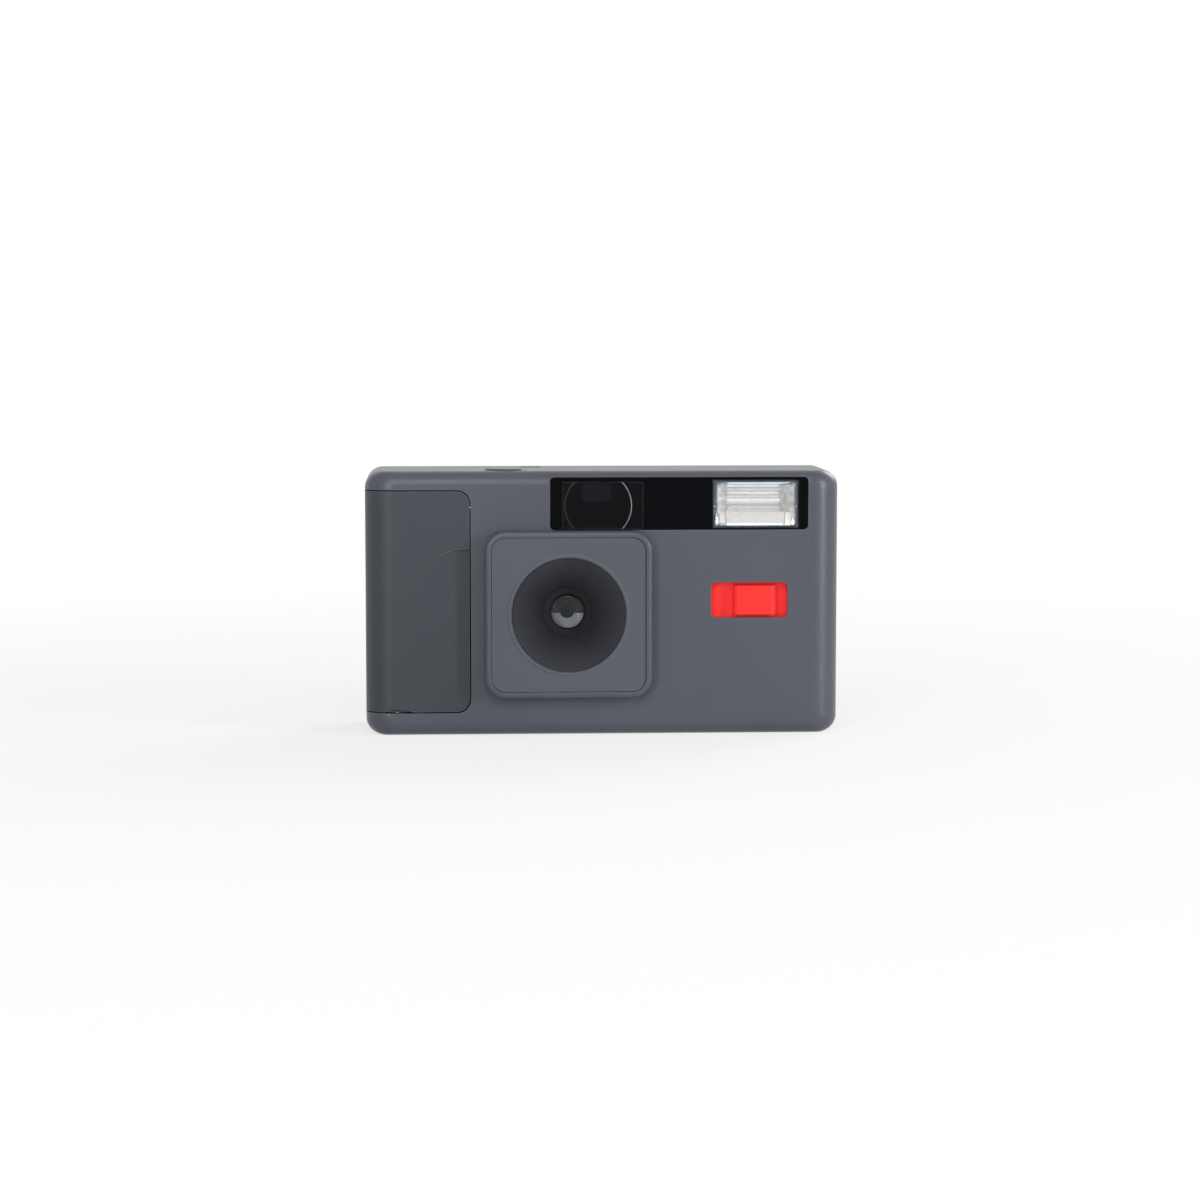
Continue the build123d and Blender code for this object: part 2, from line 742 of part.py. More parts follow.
with BuildPart() as lens_plate:
    with BuildSketch(front(plate_back_y)):
        with Locations((lens_x, lens_z)):
            size = housing_size - 2 * rim_width - 2 * slip
            RectangleRounded(size, size, housing_corner - rim_width - slip)
    extrude(amount=plate_thickness)
    bar(lens_x, lens_z, cone_mouth_radius + ring_width, plate_y - ring_rise, plate_y + slip)
    with BuildSketch(lens_axis):
        with BuildLine():
            Polyline(
                (0, plate_y + slip),
                (cone_mouth_radius + 1.4 * cone_wall, plate_y + slip),
                (cone_mouth_radius + 1.4 * cone_wall, plate_back_y),
                (cone_well_radius + cone_wall, plate_y + cone_depth),
                (cone_well_radius + cone_wall, cone_back_y),
                (0, cone_back_y),
                (0, plate_y + slip),
            )
        make_face()
    revolve(axis=Axis((lens_x, 0, lens_z), (0, 1, 0)))
    with BuildSketch(lens_axis):
        with BuildLine():
            Polyline(*cone_outline(), (0, plate_y - 1))
        make_face()
    revolve(axis=Axis((lens_x, 0, lens_z), (0, 1, 0)), mode=Mode.SUBTRACT)
lens_plate.part.label = "lens_plate"
export_step(lens_plate.part, "parts/lens_plate.step")

# Lens, its ring, the stop and the shutter stand one behind the other on the lens axis

glass_edge = 1.0
glass_bulge = 0.7
glass_front_y = cone_back_y + joint_gap
glass_back_y = glass_front_y + glass_edge
ring_opening = 3.95
barrel_wall = 1.4
stop_radius = 1.7
stop_thickness = 0.4
base_y = glass_back_y + glass_bulge + stop_thickness + 0.2
base_thickness = 1.0
blade_thickness = 0.4
blade_y = base_y + base_thickness + joint_gap
blade_radius = 5.2
blade_arm = 9.0

with BuildPart() as lens_retaining_ring:
    bar(lens_x, lens_z, cone_well_radius - running, cone_back_y - well_depth, cone_back_y)
    bar(lens_x, lens_z, ring_opening, cone_back_y - well_depth - 1, cone_back_y + 1, mode=Mode.SUBTRACT)
    chamfer(lens_retaining_ring.edges().group_by(Axis.Y)[0].sort_by(SortBy.RADIUS)[0], 0.6)
lens_retaining_ring.part.label = "lens_retaining_ring"
export_step(lens_retaining_ring.part, "parts/lens_retaining_ring.step")


def bulge(radius, rise):
    """Radius of the ball that rises so much over a disc of this radius."""
    return (radius ** 2 + rise ** 2) / (2 * rise)


with BuildPart() as lens_element:
    ball = bulge(glass_radius, glass_bulge)
    front_pole = glass_front_y - glass_bulge
    back_pole = glass_back_y + glass_bulge
    half_out = glass_radius / 2
    half_sag = ball - (ball ** 2 - half_out ** 2) ** 0.5
    with BuildSketch(lens_axis):
        with BuildLine():
            ThreePointArc((0, front_pole), (half_out, front_pole + half_sag), (glass_radius, glass_front_y))
            Line((glass_radius, glass_front_y), (glass_radius, glass_back_y))
            ThreePointArc((glass_radius, glass_back_y), (half_out, back_pole - half_sag), (0, back_pole))
            Line((0, back_pole), (0, front_pole))
        make_face()
    revolve(axis=Axis((lens_x, 0, lens_z), (0, 1, 0)))
lens_element.part.label = "lens_element"
export_step(lens_element.part, "parts/lens_element.step")

with BuildPart() as aperture_plate:
    bar(lens_x, lens_z, glass_radius, base_y - stop_thickness, base_y)
    bar(lens_x, lens_z, stop_radius, base_y - 1, base_y + 1, mode=Mode.SUBTRACT)
aperture_plate.part.label = "aperture_plate"
export_step(aperture_plate.part, "parts/aperture_plate.step")

shutter_pin_radius = 0.8
shutter_pin_head_radius = 1.6
shutter_pin_head = 0.4
shutter_coil_radius = 1.9
shutter_coil_height = 2.1
leg_half_width = 1.2
blade_hub_radius = 2.2
blade_arm_half_width = 2.0
pivot_x = lens_x + blade_arm
pivot_z = lens_z + blade_arm

with BuildPart() as shutter_base:
    block(
        (lens_x - shutter_plate_width / 2, lens_x + shutter_plate_width / 2),
        (base_y, base_y + base_thickness),
        (lens_z - shutter_plate_height / 2, lens_z + shutter_plate_height / 2),
    )
    bar(lens_x, lens_z, glass_radius + slip + barrel_wall, cone_back_y, base_y + slip)
    bar(lens_x, lens_z, glass_radius + slip, cone_back_y - 1, base_y, mode=Mode.SUBTRACT)
    bar(lens_x, lens_z, tunnel_hole_radius - 1.2, base_y - 1, base_y + 2, mode=Mode.SUBTRACT)
    bar(pivot_x, pivot_z, shutter_pin_radius, base_y - 1, base_y + 2, mode=Mode.SUBTRACT)
    # Legs that seat the base on the front plate of the dark tunnel
    for sign_x in (1, -1):
        for sign_z in (1, -1):
            x = lens_x + sign_x * (shutter_plate_width / 2 - leg_half_width)
            z = lens_z + sign_z * (shutter_plate_height / 2 - leg_half_width)
            block(
                (x - leg_half_width, x + leg_half_width),
                (base_y, tunnel_front_y),
                (z - leg_half_width, z + leg_half_width),
            )
shutter_base.part.label = "shutter_base"
export_step(shutter_base.part, "parts/shutter_base.step")

with BuildPart() as shutter_pin:
    head_y = base_y - shutter_coil_height - slip
    bar(pivot_x, pivot_z, shutter_pin_radius, head_y, tunnel_front_y)
    bar(pivot_x, pivot_z, shutter_pin_head_radius, head_y - shutter_pin_head, head_y)
shutter_pin.part.label = "shutter_pin"
export_step(shutter_pin.part, "parts/shutter_pin.step")

with BuildPart() as shutter_spring:
    bar(pivot_x, pivot_z, shutter_coil_radius, base_y - shutter_coil_height, base_y)
    bar(pivot_x, pivot_z, shutter_pin_radius + joint_gap, base_y - shutter_coil_height - 1, base_y + 1,
        mode=Mode.SUBTRACT)
shutter_spring.part.label = "shutter_spring"
export_step(shutter_spring.part, "parts/shutter_spring.step")

with BuildPart() as shutter_blade:
    with BuildSketch(front(blade_y + blade_thickness)):
        with Locations((lens_x, lens_z)):
            Circle(blade_radius)
        with Locations((pivot_x, pivot_z)):
            Circle(blade_hub_radius)
        with Locations(Location(((lens_x + pivot_x) / 2, (lens_z + pivot_z) / 2, 0), (0, 0, 45))):
            Rectangle(blade_arm * 2 ** 0.5, 2 * blade_arm_half_width)
    extrude(amount=blade_thickness)
    bar(pivot_x, pivot_z, shutter_pin_radius + running, blade_y - 1, blade_y + 1, mode=Mode.SUBTRACT)
shutter_blade.part.label = "shutter_blade"
export_step(shutter_blade.part, "parts/shutter_blade.step")

# Window strip with the finder's front lens and the flash window let into it

with BuildPart() as window_panel:
    with BuildSketch(front(pocket_y)):
        with Locations((strip_x, strip_z)):
            RectangleRounded(strip_width, strip_height, strip_corner)
        with Locations((finder_x, finder_z)):
            Rectangle(finder_width + slip, finder_height + slip, mode=Mode.SUBTRACT)
        with Locations((flash_x, flash_z)):
            Rectangle(flash_width + slip, flash_height + slip, mode=Mode.SUBTRACT)
    extrude(amount=strip_thickness)
window_panel.part.label = "window_panel"
export_step(window_panel.part, "parts/window_panel.step")

lens_spot_x = finder_x - 1.15
lens_spot_radius = 8.0
lens_spot_depth = 0.9

with BuildPart() as viewfinder_front_lens:
    block(
        (finder_x - finder_width / 2, finder_x + finder_width / 2),
        (strip_front_y, pocket_y),
        (finder_z - finder_height / 2, finder_z + finder_height / 2),
    )
    block(
        (finder_x - finder_width / 2 + window_lip + slip, finder_x + finder_width / 2 - window_lip - slip),
        (pocket_y - slip, inner_front_y),
        (finder_z - finder_height / 2 + window_lip + slip, finder_z + finder_height / 2 - window_lip - slip),
    )
    ball = bulge(lens_spot_radius, lens_spot_depth)
    with Locations((lens_spot_x, strip_front_y + lens_spot_depth - ball, finder_z)):
        Sphere(ball, mode=Mode.SUBTRACT)
viewfinder_front_lens.part.label = "viewfinder_front_lens"
export_step(viewfinder_front_lens.part, "parts/viewfinder_front_lens.step")

band_low_z = door_top_z + joint_gap
band_height = body_height - band_low_z
eye_room = inner_top - band_low_z
eye_x = finder_x
eye_z = band_low_z + 0.45 * eye_room
eye_frame_width = 11.6
eye_frame_height = 0.79 * eye_room
eye_frame_corner = 0.18 * eye_frame_height
eye_width = 8.0
eye_height = 0.73 * eye_frame_height
finder_wall = 0.095 * eye_room
eye_lens_y = rear_y - 4.15
eye_lens_thickness = 1.4


def finder_form(add_size):
    """Tapered tube between the two finder lenses."""
    with BuildPart() as form:
        with BuildSketch(front(inner_front_y)):
            with Locations((finder_x, finder_z)):
                Rectangle(finder_width - 2 * window_lip + add_size, finder_height - 2 * window_lip + add_size)
        with BuildSketch(front(eye_lens_y)):
            with Locations((eye_x, eye_z)):
                Rectangle(eye_width + add_size, eye_height + add_size)
        loft(ruled=True)
    return form.part


with BuildPart() as viewfinder_tunnel:
    add(finder_form(2 * finder_wall))
    add(finder_form(0), mode=Mode.SUBTRACT)
    add(inner_space(slip / 2), mode=Mode.INTERSECT)
viewfinder_tunnel.part.label = "viewfinder_tunnel"
export_step(viewfinder_tunnel.part, "parts/viewfinder_tunnel.step")

with BuildPart() as viewfinder_rear_lens:
    block(
        (eye_x - eye_width / 2 - finder_wall, eye_x + eye_width / 2 + finder_wall),
        (eye_lens_y, eye_lens_y + eye_lens_thickness),
        (eye_z - eye_height / 2 - finder_wall, eye_z + eye_height / 2 + finder_wall),
    )
viewfinder_rear_lens.part.label = "viewfinder_rear_lens"
export_step(viewfinder_rear_lens.part, "parts/viewfinder_rear_lens.step")

with BuildPart() as eyepiece_frame:
    with BuildSketch(front(rear_y)):
        with Locations((eye_x, eye_z)):
            RectangleRounded(eye_frame_width - slip, eye_frame_height - slip, eye_frame_corner - slip / 2)
            RectangleRounded(eye_width, eye_height, eye_frame_corner - slip, mode=Mode.SUBTRACT)
    extrude(amount=rear_y - eye_lens_y - eye_lens_thickness)
eyepiece_frame.part.label = "eyepiece_frame"
export_step(eyepiece_frame.part, "parts/eyepiece_frame.step")

# Flash: clear window with upright-facing ribs, mirror trough, tube and its circuit

flash_bevel = 0.7
mirror_low_z = ceiling_z + 2 * slip
mirror_high_z = flash_z + flash_height / 2 - window_lip - slip
mirror_height = mirror_high_z - mirror_low_z
mirror_wall = mirror_height / 16
mirror_width = flash_width - 2 * window_lip - 2 * slip
mirror_front_y = pocket_y
mirror_depth = 6.6
rib_count = 6
rib_pitch = mirror_height / rib_count
rib_depth = 0.26 * rib_pitch
rib_end = 2.0
tube_radius = 0.15 * mirror_height
tube_y = mirror_front_y + 4.0
tube_reach = mirror_width / 2 + 0.8

with BuildPart() as flash_window:
    with BuildSketch(front(pocket_y)):
        with Locations((flash_x, flash_z)):
            Rectangle(flash_width, flash_height)
    extrude(amount=strip_thickness)
    chamfer(flash_window.faces().sort_by(Axis.Y)[0].edges(), flash_bevel)
    # Ribs on the inner face, across the window
    for rib in range(rib_count):
        z = mirror_low_z + (rib + 0.5) * rib_pitch
        cross_bar(pocket_y, z, rib_depth, flash_x - mirror_width / 2 + rib_end,
                  flash_x + mirror_width / 2 - rib_end, mode=Mode.SUBTRACT)
flash_window.part.label = "flash_window"
export_step(flash_window.part, "parts/flash_window.step")

with BuildPart() as flash_reflector:
    with BuildSketch(Plane.YZ.offset(flash_x - mirror_width / 2)):
        mirror_middle_z = (mirror_low_z + mirror_high_z) / 2
        half = mirror_height / 2
        with BuildLine():
            Polyline(
                (mirror_front_y, mirror_low_z),
                (mirror_front_y, mirror_high_z),
                (mirror_front_y + mirror_depth * 0.5, mirror_high_z - half * 0.18),
                (mirror_front_y + mirror_depth * 0.85, mirror_high_z - half * 0.5),
                (mirror_front_y + mirror_depth, mirror_middle_z),
                (mirror_front_y + mirror_depth * 0.85, mirror_low_z + half * 0.5),
                (mirror_front_y + mirror_depth * 0.5, mirror_low_z + half * 0.18),
                (mirror_front_y, mirror_low_z),
            )
        make_face()
    extrude(amount=mirror_width)
    offset(amount=-mirror_wall, openings=flash_reflector.faces().sort_by(Axis.Y)[0])
    cross_bar(tube_y, mirror_middle_z, tube_radius, flash_x - mirror_width / 2 - 1,
              flash_x + mirror_width / 2 + 1, mode=Mode.SUBTRACT)
flash_reflector.part.label = "flash_reflector"
export_step(flash_reflector.part, "parts/flash_reflector.step")

with BuildPart() as flash_tube:
    cross_bar(tube_y, mirror_middle_z, tube_radius, flash_x - tube_reach, flash_x + tube_reach)
flash_tube.part.label = "flash_tube"
export_step(flash_tube.part, "parts/flash_tube.step")

board_thickness = 0.8
part_y = board_front_y + board_thickness
capacitor_diameter = 0.66 * board_width
capacitor_length = 24.0
capacitor_low_z = board_low_z + 1.8
capacitor_x = board_left_x + board_width / 2
transformer_size = 0.58 * board_width
transformer_height = 9.0
transformer_low_z = board_high_z - 12.0

with BuildPart() as flash_circuit_board:
    block((board_left_x, board_right_x), (board_front_y, part_y), (board_low_z, board_high_z))
flash_circuit_board.part.label = "flash_circuit_board"
export_step(flash_circuit_board.part, "parts/flash_circuit_board.step")

with BuildPart() as flash_capacitor:
    column(capacitor_x, part_y + capacitor_diameter / 2, capacitor_diameter / 2, capacitor_low_z,
           capacitor_low_z + capacitor_length)
    fillet(flash_capacitor.edges().filter_by(GeomType.CIRCLE), capacitor_diameter / 15)
flash_capacitor.part.label = "flash_capacitor"
export_step(flash_capacitor.part, "parts/flash_capacitor.step")

with BuildPart() as flash_transformer:
    block(
        (capacitor_x - transformer_size / 2, capacitor_x + transformer_size / 2),
        (part_y, part_y + transformer_size),
        (transformer_low_z, transformer_low_z + transformer_height),
    )
    fillet(flash_transformer.edges().filter_by(Axis.Z), transformer_size / 8)
flash_transformer.part.label = "flash_transformer"
export_step(flash_transformer.part, "parts/flash_transformer.step")

lamp_x = eye_x + 14.1
lamp_z = band_low_z + band_height / 2
lamp_radius = 1.5
lamp_flange_radius = 2.2

with BuildPart() as ready_lamp:
    bar(lamp_x, lamp_z, lamp_radius, film_y + 0.4, rear_y - 0.2)
    bar(lamp_x, lamp_z, lamp_flange_radius, inner_rear_y - 1.1, inner_rear_y)
ready_lamp.part.label = "ready_lamp"
export_step(ready_lamp.part, "parts/ready_lamp.step")

# Flash switch: a red plate that slides behind the cover, with the knob that stands through it

switch_plate_lap = 0.6
switch_plate_y = inner_front_y + slip
switch_plate_thickness = 0.9
switch_left_x = switch_x - switch_opening_width / 2
switch_right_x = switch_x + switch_opening_width / 2
knob_x = switch_x + knob_offset
knob_slope = 0.9
contact_y = switch_plate_y + switch_plate_thickness + joint_gap
blade_spacing = 3.2
blade_half_height = 0.9
blade_foot = 1.6
blade_tip = 1.8

with BuildPart() as flash_switch:
    block(
        (switch_left_x - switch_plate_lap, switch_right_x + switch_travel + switch_plate_lap),
        (switch_plate_y, switch_plate_y + switch_plate_thickness),
        (switch_z - switch_opening_height / 2 - switch_plate_lap,
         switch_z + switch_opening_height / 2 + switch_plate_lap),
    )
    with BuildSketch(Plane.XY.offset(switch_z - knob_height / 2)):
        with BuildLine():
            Polyline(
                (knob_x - knob_width / 2, switch_plate_y + slip),
                (knob_x - knob_width / 2, front_y),
                (knob_x - knob_width / 2 + knob_slope, front_y - knob_rise),
                (knob_x + knob_width / 2 - knob_slope, front_y - knob_rise),
                (knob_x + knob_width / 2, front_y),
                (knob_x + knob_width / 2, switch_plate_y + slip),
                (knob_x - knob_width / 2, switch_plate_y + slip),
            )
        make_face()
    extrude(amount=knob_height)
flash_switch.part.label = "flash_switch"
export_step(flash_switch.part, "parts/flash_switch.step")

with BuildPart() as switch_contacts:
    for z in (switch_z - blade_spacing / 2, switch_z + blade_spacing / 2):
        span_z = (z - blade_half_height, z + blade_half_height)
        block((board_right_x - blade_foot, board_right_x), (contact_y, board_front_y), span_z)
        block(
            (board_right_x - blade_foot, board_right_x + blade_tip),
            (contact_y, contact_y + contact_thickness),
            span_z,
        )
switch_contacts.part.label = "switch_contacts"
export_step(switch_contacts.part, "parts/switch_contacts.step")

# Shutter button, its spring and the lever that carries the push to the shutter

cap_high_z = body_height + 0.4
cap_edge = 0.5
flange_radius = 5.6
flange_depth = 7.0
flange_low_z = inner_top - 1.0
flange_high_z = inner_top - slip
lever_left_x = button_x - 2.7
lever_right_x = lever_pivot_x + 4.5
lever_half_height = 0.8
lever_hub_radius = 1.8
stem_low_z = lever_pivot_z + lever_half_height + joint_gap
nub_radius = 0.8
nub_height = 0.7
button_coil_width = 1.1

with BuildPart() as shutter_button:
    column(button_x, button_y, flange_radius, flange_low_z, flange_high_z)
    block((button_x - flange_radius, button_x + flange_radius),
          (button_y - flange_depth / 2, button_y + flange_depth / 2), (flange_low_z, flange_high_z),
          mode=Mode.INTERSECT)
    column(button_x, button_y, button_radius, flange_high_z - slip, cap_high_z)
    fillet(shutter_button.edges().group_by(Axis.Z)[-1], cap_edge)
    column(button_x, button_y, stem_radius, stem_low_z + nub_height, flange_low_z + slip)
    column(button_x, button_y, nub_radius, stem_low_z, stem_low_z + nub_height + slip)
shutter_button.part.label = "shutter_button"
export_step(shutter_button.part, "parts/shutter_button.step")

with BuildPart() as button_spring:
    column(button_x, button_y, stem_radius + button_coil_width, ceiling_z, flange_low_z)
    column(button_x, button_y, stem_radius + joint_gap, ceiling_z - 1, flange_low_z + 1, mode=Mode.SUBTRACT)
button_spring.part.label = "button_spring"
export_step(button_spring.part, "parts/button_spring.step")

with BuildPart() as release_lever:
    block(
        (lever_left_x, lever_right_x),
        (lever_y - lever_thickness / 2, lever_y + lever_thickness / 2),
        (lever_pivot_z - lever_half_height, lever_pivot_z + lever_half_height),
    )
    bar(lever_pivot_x, lever_pivot_z, lever_hub_radius, lever_y - lever_thickness / 2,
        lever_y + lever_thickness / 2)
    bar(lever_pivot_x, lever_pivot_z, lever_pin_radius + running, lever_y - lever_thickness,
        lever_y + lever_thickness, mode=Mode.SUBTRACT)
release_lever.part.label = "release_lever"
export_step(release_lever.part, "parts/release_lever.step")

# Film winding: thumb wheel, take-up spool, sprocket, frame counter and the pawl

wheel_notches = 40
wheel_notch_radius = 0.45
wheel_rim = 3.5
wheel_hub_radius = 3.5
wheel_web = 1.5
spool_foot_length = 1.1
spool_low_z = chamber_low_z + joint_gap
spool_high_z = chamber_high_z - joint_gap
spool_slot_width = 1.2

with BuildPart() as advance_wheel:
    with BuildSketch(level(wheel_base_z)):
        with Locations((spool_x, spool_y)):
            Circle(wheel_radius)
            with PolarLocations(wheel_radius, wheel_notches):
                Circle(wheel_notch_radius, mode=Mode.SUBTRACT)
    extrude(amount=wheel_thickness)
    column(spool_x, spool_y, wheel_radius - wheel_rim, wheel_base_z + wheel_web,
           wheel_base_z + wheel_thickness + 1, mode=Mode.SUBTRACT)
    column(spool_x, spool_y, wheel_hub_radius, wheel_base_z + wheel_web - slip,
           wheel_base_z + wheel_thickness)
advance_wheel.part.label = "advance_wheel"
export_step(advance_wheel.part, "parts/advance_wheel.step")

with BuildPart() as take_up_spool:
    column(spool_x, spool_y, spool_core_radius, spool_low_z, spool_high_z)
    block(
        (spool_x - spool_slot_width / 2, spool_x + spool_slot_width / 2),
        (spool_y - 2 * spool_core_radius, spool_y + 2 * spool_core_radius),
        (lens_z - film_width / 2, lens_z + film_width / 2),
        mode=Mode.SUBTRACT,
    )
    column(spool_x, spool_y, spool_journal_radius, spool_high_z - slip, wheel_base_z)
    column(spool_x, spool_y, spool_foot_radius, spool_low_z - spool_foot_length, spool_low_z + slip)
take_up_spool.part.label = "take_up_spool"
export_step(take_up_spool.part, "parts/take_up_spool.step")

sprocket_low_z = sprocket_z - sprocket_thickness / 2
sprocket_high_z = sprocket_z + sprocket_thickness / 2
sprocket_body_radius = sprocket_pitch_radius - slip
sprocket_tooth_width = 1.6
sprocket_foot = 0.8
cam_radius = 2.0
cam_low_z = deck(0.31)
cam_high_z = deck(0.42)

with BuildPart() as film_sprocket:
    column(sprocket_x, sprocket_y, sprocket_body_radius, sprocket_low_z, sprocket_high_z)
    with BuildSketch(level(sprocket_low_z)):
        with Locations((sprocket_x, sprocket_y)):
            with PolarLocations(sprocket_pitch_radius, sprocket_teeth, start_angle=90 - 180 / sprocket_teeth):
                Rectangle(2 * sprocket_tooth_height, sprocket_tooth_width)
    extrude(amount=sprocket_thickness)
    column(sprocket_x, sprocket_y, sprocket_shaft_radius, sprocket_low_z - sprocket_foot, cam_high_z)
    column(sprocket_x, sprocket_y, cam_radius, cam_low_z, cam_high_z)
film_sprocket.part.label = "film_sprocket"
export_step(film_sprocket.part, "parts/film_sprocket.step")

dial_radius = 6.2
dial_low_z = deck(0.51)
dial_high_z = deck(0.66)
dial_gear_radius = 3.6
dial_gear_low_z = deck(0.30)
dial_gear_high_z = deck(0.43)
dial_gear_teeth = 20
dial_gear_notch = 0.25
dial_hub_radius = 2.0

with BuildPart() as counter_dial:
    column(counter_x, counter_y, dial_radius, dial_low_z, dial_high_z)
    with BuildSketch(level(dial_gear_low_z)):
        with Locations((counter_x, counter_y)):
            Circle(dial_gear_radius)
            with PolarLocations(dial_gear_radius, dial_gear_teeth):
                Circle(dial_gear_notch, mode=Mode.SUBTRACT)
    extrude(amount=dial_gear_high_z - dial_gear_low_z)
    column(counter_x, counter_y, dial_hub_radius, ceiling_z + slip, dial_high_z)
    column(counter_x, counter_y, dial_stud_radius + running, ceiling_z, dial_high_z + 1, mode=Mode.SUBTRACT)
counter_dial.part.label = "counter_dial"
export_step(counter_dial.part, "parts/counter_dial.step")

with BuildPart() as counter_window:
    block(
        (counter_x - counter_window_width / 2, counter_x + counter_window_width / 2),
        (counter_window_y - counter_window_length / 2, counter_window_y + counter_window_length / 2),
        (inner_top + joint_gap, body_height - slip),
    )
counter_window.part.label = "counter_window"
export_step(counter_window.part, "parts/counter_window.step")

pawl_low_z = deck(0.26)
pawl_high_z = deck(0.48)
pawl_tip_radius = 0.5
pawl_hub_radius = 1.8
pawl_root_half = 1.4
pawl_tip_angle = -75
pawl_tip = Vector(wheel_radius + joint_gap + pawl_tip_radius, 0).rotate(Axis.Z, pawl_tip_angle)
pawl_tip_x = spool_x + pawl_tip.X
pawl_tip_y = spool_y + pawl_tip.Y

with BuildPart() as ratchet_pawl:
    with BuildSketch(level(pawl_low_z)):
        with Locations((pawl_x, pawl_y)):
            Circle(pawl_hub_radius)
        with Locations((pawl_tip_x, pawl_tip_y)):
            Circle(pawl_tip_radius)
        with BuildLine():
            Polyline(
                (pawl_tip_x, pawl_tip_y + pawl_tip_radius),
                (pawl_tip_x, pawl_tip_y - pawl_tip_radius),
                (pawl_x, pawl_y - pawl_root_half),
                (pawl_x, pawl_y + pawl_root_half),
                (pawl_tip_x, pawl_tip_y + pawl_tip_radius),
            )
        make_face()
    extrude(amount=pawl_high_z - pawl_low_z)
    column(pawl_x, pawl_y, pawl_hub_radius, ceiling_z + slip, pawl_high_z)
    column(pawl_x, pawl_y, dial_stud_radius + running, ceiling_z, pawl_high_z + 1, mode=Mode.SUBTRACT)
ratchet_pawl.part.label = "ratchet_pawl"
export_step(ratchet_pawl.part, "parts/ratchet_pawl.step")

# Rewind: crank let into the underside, with a folding handle, and the fork that turns the cassette

crank_low_z = 0.5
crank_high_z = 2.3
handle_reach = 7.6
handle_half_width = 2.0
handle_low_z = 0.45
handle_high_z = 1.75
handle_from_centre = 4.8
handle_pin_x = cassette_x + handle_from_centre
handle_pin_z = (handle_low_z + handle_high_z) / 2
handle_pin_radius = 0.3
handle_end_radius = (handle_high_z - handle_low_z) / 2
crank_pin_overlap = 0.6
fork_low_z = chamber_low_z + 2 * slip
fork_height = 3.8
fork_half_width = 2.8
fork_half_thickness = 0.6

with BuildPart() as rewind_crank:
    column(cassette_x, cassette_y, crank_radius, crank_low_z, crank_high_z)
    block(
        (cassette_x - handle_reach - slip, handle_pin_x + handle_end_radius + slip),
        (cassette_y - handle_half_width - slip, cassette_y + handle_half_width + slip),
        (crank_low_z - 1, handle_high_z + slip),
        mode=Mode.SUBTRACT,
    )
    bar(handle_pin_x, handle_pin_z, handle_pin_radius, cassette_y - handle_half_width - 1,
        cassette_y + handle_half_width + 1, mode=Mode.SUBTRACT)
    column(cassette_x, cassette_y, fork_radius, crank_high_z - slip, fork_low_z)
rewind_crank.part.label = "rewind_crank"
export_step(rewind_crank.part, "parts/rewind_crank.step")

with BuildPart() as rewind_fork:
    block(
        (cassette_x - fork_half_width, cassette_x + fork_half_width),
        (cassette_y - fork_half_thickness, cassette_y + fork_half_thickness),
        (fork_low_z, fork_low_z + fork_height),
    )
rewind_fork.part.label = "rewind_fork"
export_step(rewind_fork.part, "parts/rewind_fork.step")

with BuildPart() as rewind_cup:
    column(cassette_x, cassette_y, cup_radius, wall, cup_high_z)
    column(cassette_x, cassette_y, crank_radius + crank_room, wall - 1, cup_floor_z, mode=Mode.SUBTRACT)
    column(cassette_x, cassette_y, fork_radius + running, wall, cup_high_z + 1, mode=Mode.SUBTRACT)
    block((0, side), (joint_y, rear_y), (0, cup_high_z + 1), mode=Mode.SUBTRACT)
rewind_cup.part.label = "rewind_cup"
export_step(rewind_cup.part, "parts/rewind_cup.step")

with BuildPart() as crank_pin:
    bar(handle_pin_x, handle_pin_z, handle_pin_radius, cassette_y - handle_half_width - crank_pin_overlap,
        cassette_y + handle_half_width + crank_pin_overlap)
crank_pin.part.label = "crank_pin"
export_step(crank_pin.part, "parts/crank_pin.step")

with BuildPart() as rewind_handle:
    with BuildSketch(level(handle_low_z)):
        with Locations(((cassette_x - handle_reach + handle_pin_x) / 2, cassette_y)):
            Rectangle(handle_reach + handle_pin_x - cassette_x, 2 * handle_half_width)
    extrude(amount=handle_high_z - handle_low_z)
    bar(handle_pin_x, handle_pin_z, handle_end_radius, cassette_y - handle_half_width,
        cassette_y + handle_half_width)
    bar(handle_pin_x, handle_pin_z, handle_pin_radius + running, cassette_y - 2 * handle_half_width,
        cassette_y + 2 * handle_half_width, mode=Mode.SUBTRACT)
rewind_handle.part.label = "rewind_handle"
export_step(rewind_handle.part, "parts/rewind_handle.step")

release_low_z = 0.2
release_flange_low_z = wall + joint_gap
release_flange_high_z = release_flange_low_z + 0.9
release_flange_radius = 2.6
release_stem_high_z = guide_shelf_z + 2.4
release_coil_width = 1.0

with BuildPart() as rewind_release:
    column(sprocket_x, sprocket_y, release_button_radius, release_low_z, release_flange_high_z)
    column(sprocket_x, sprocket_y, release_flange_radius, release_flange_low_z, release_flange_high_z)
    column(sprocket_x, sprocket_y, guide_stem_radius, release_flange_high_z - slip, release_stem_high_z)
rewind_release.part.label = "rewind_release"
export_step(rewind_release.part, "parts/rewind_release.step")

with BuildPart() as release_spring:
    column(sprocket_x, sprocket_y, guide_stem_radius + release_coil_width, release_flange_high_z,
           guide_shelf_z)
    column(sprocket_x, sprocket_y, guide_stem_radius + joint_gap, 0, guide_shelf_z + 1, mode=Mode.SUBTRACT)
release_spring.part.label = "release_spring"
export_step(release_spring.part, "parts/release_spring.step")

# Rear of the body: a fixed frame above and beside the back door, and the hinged door itself


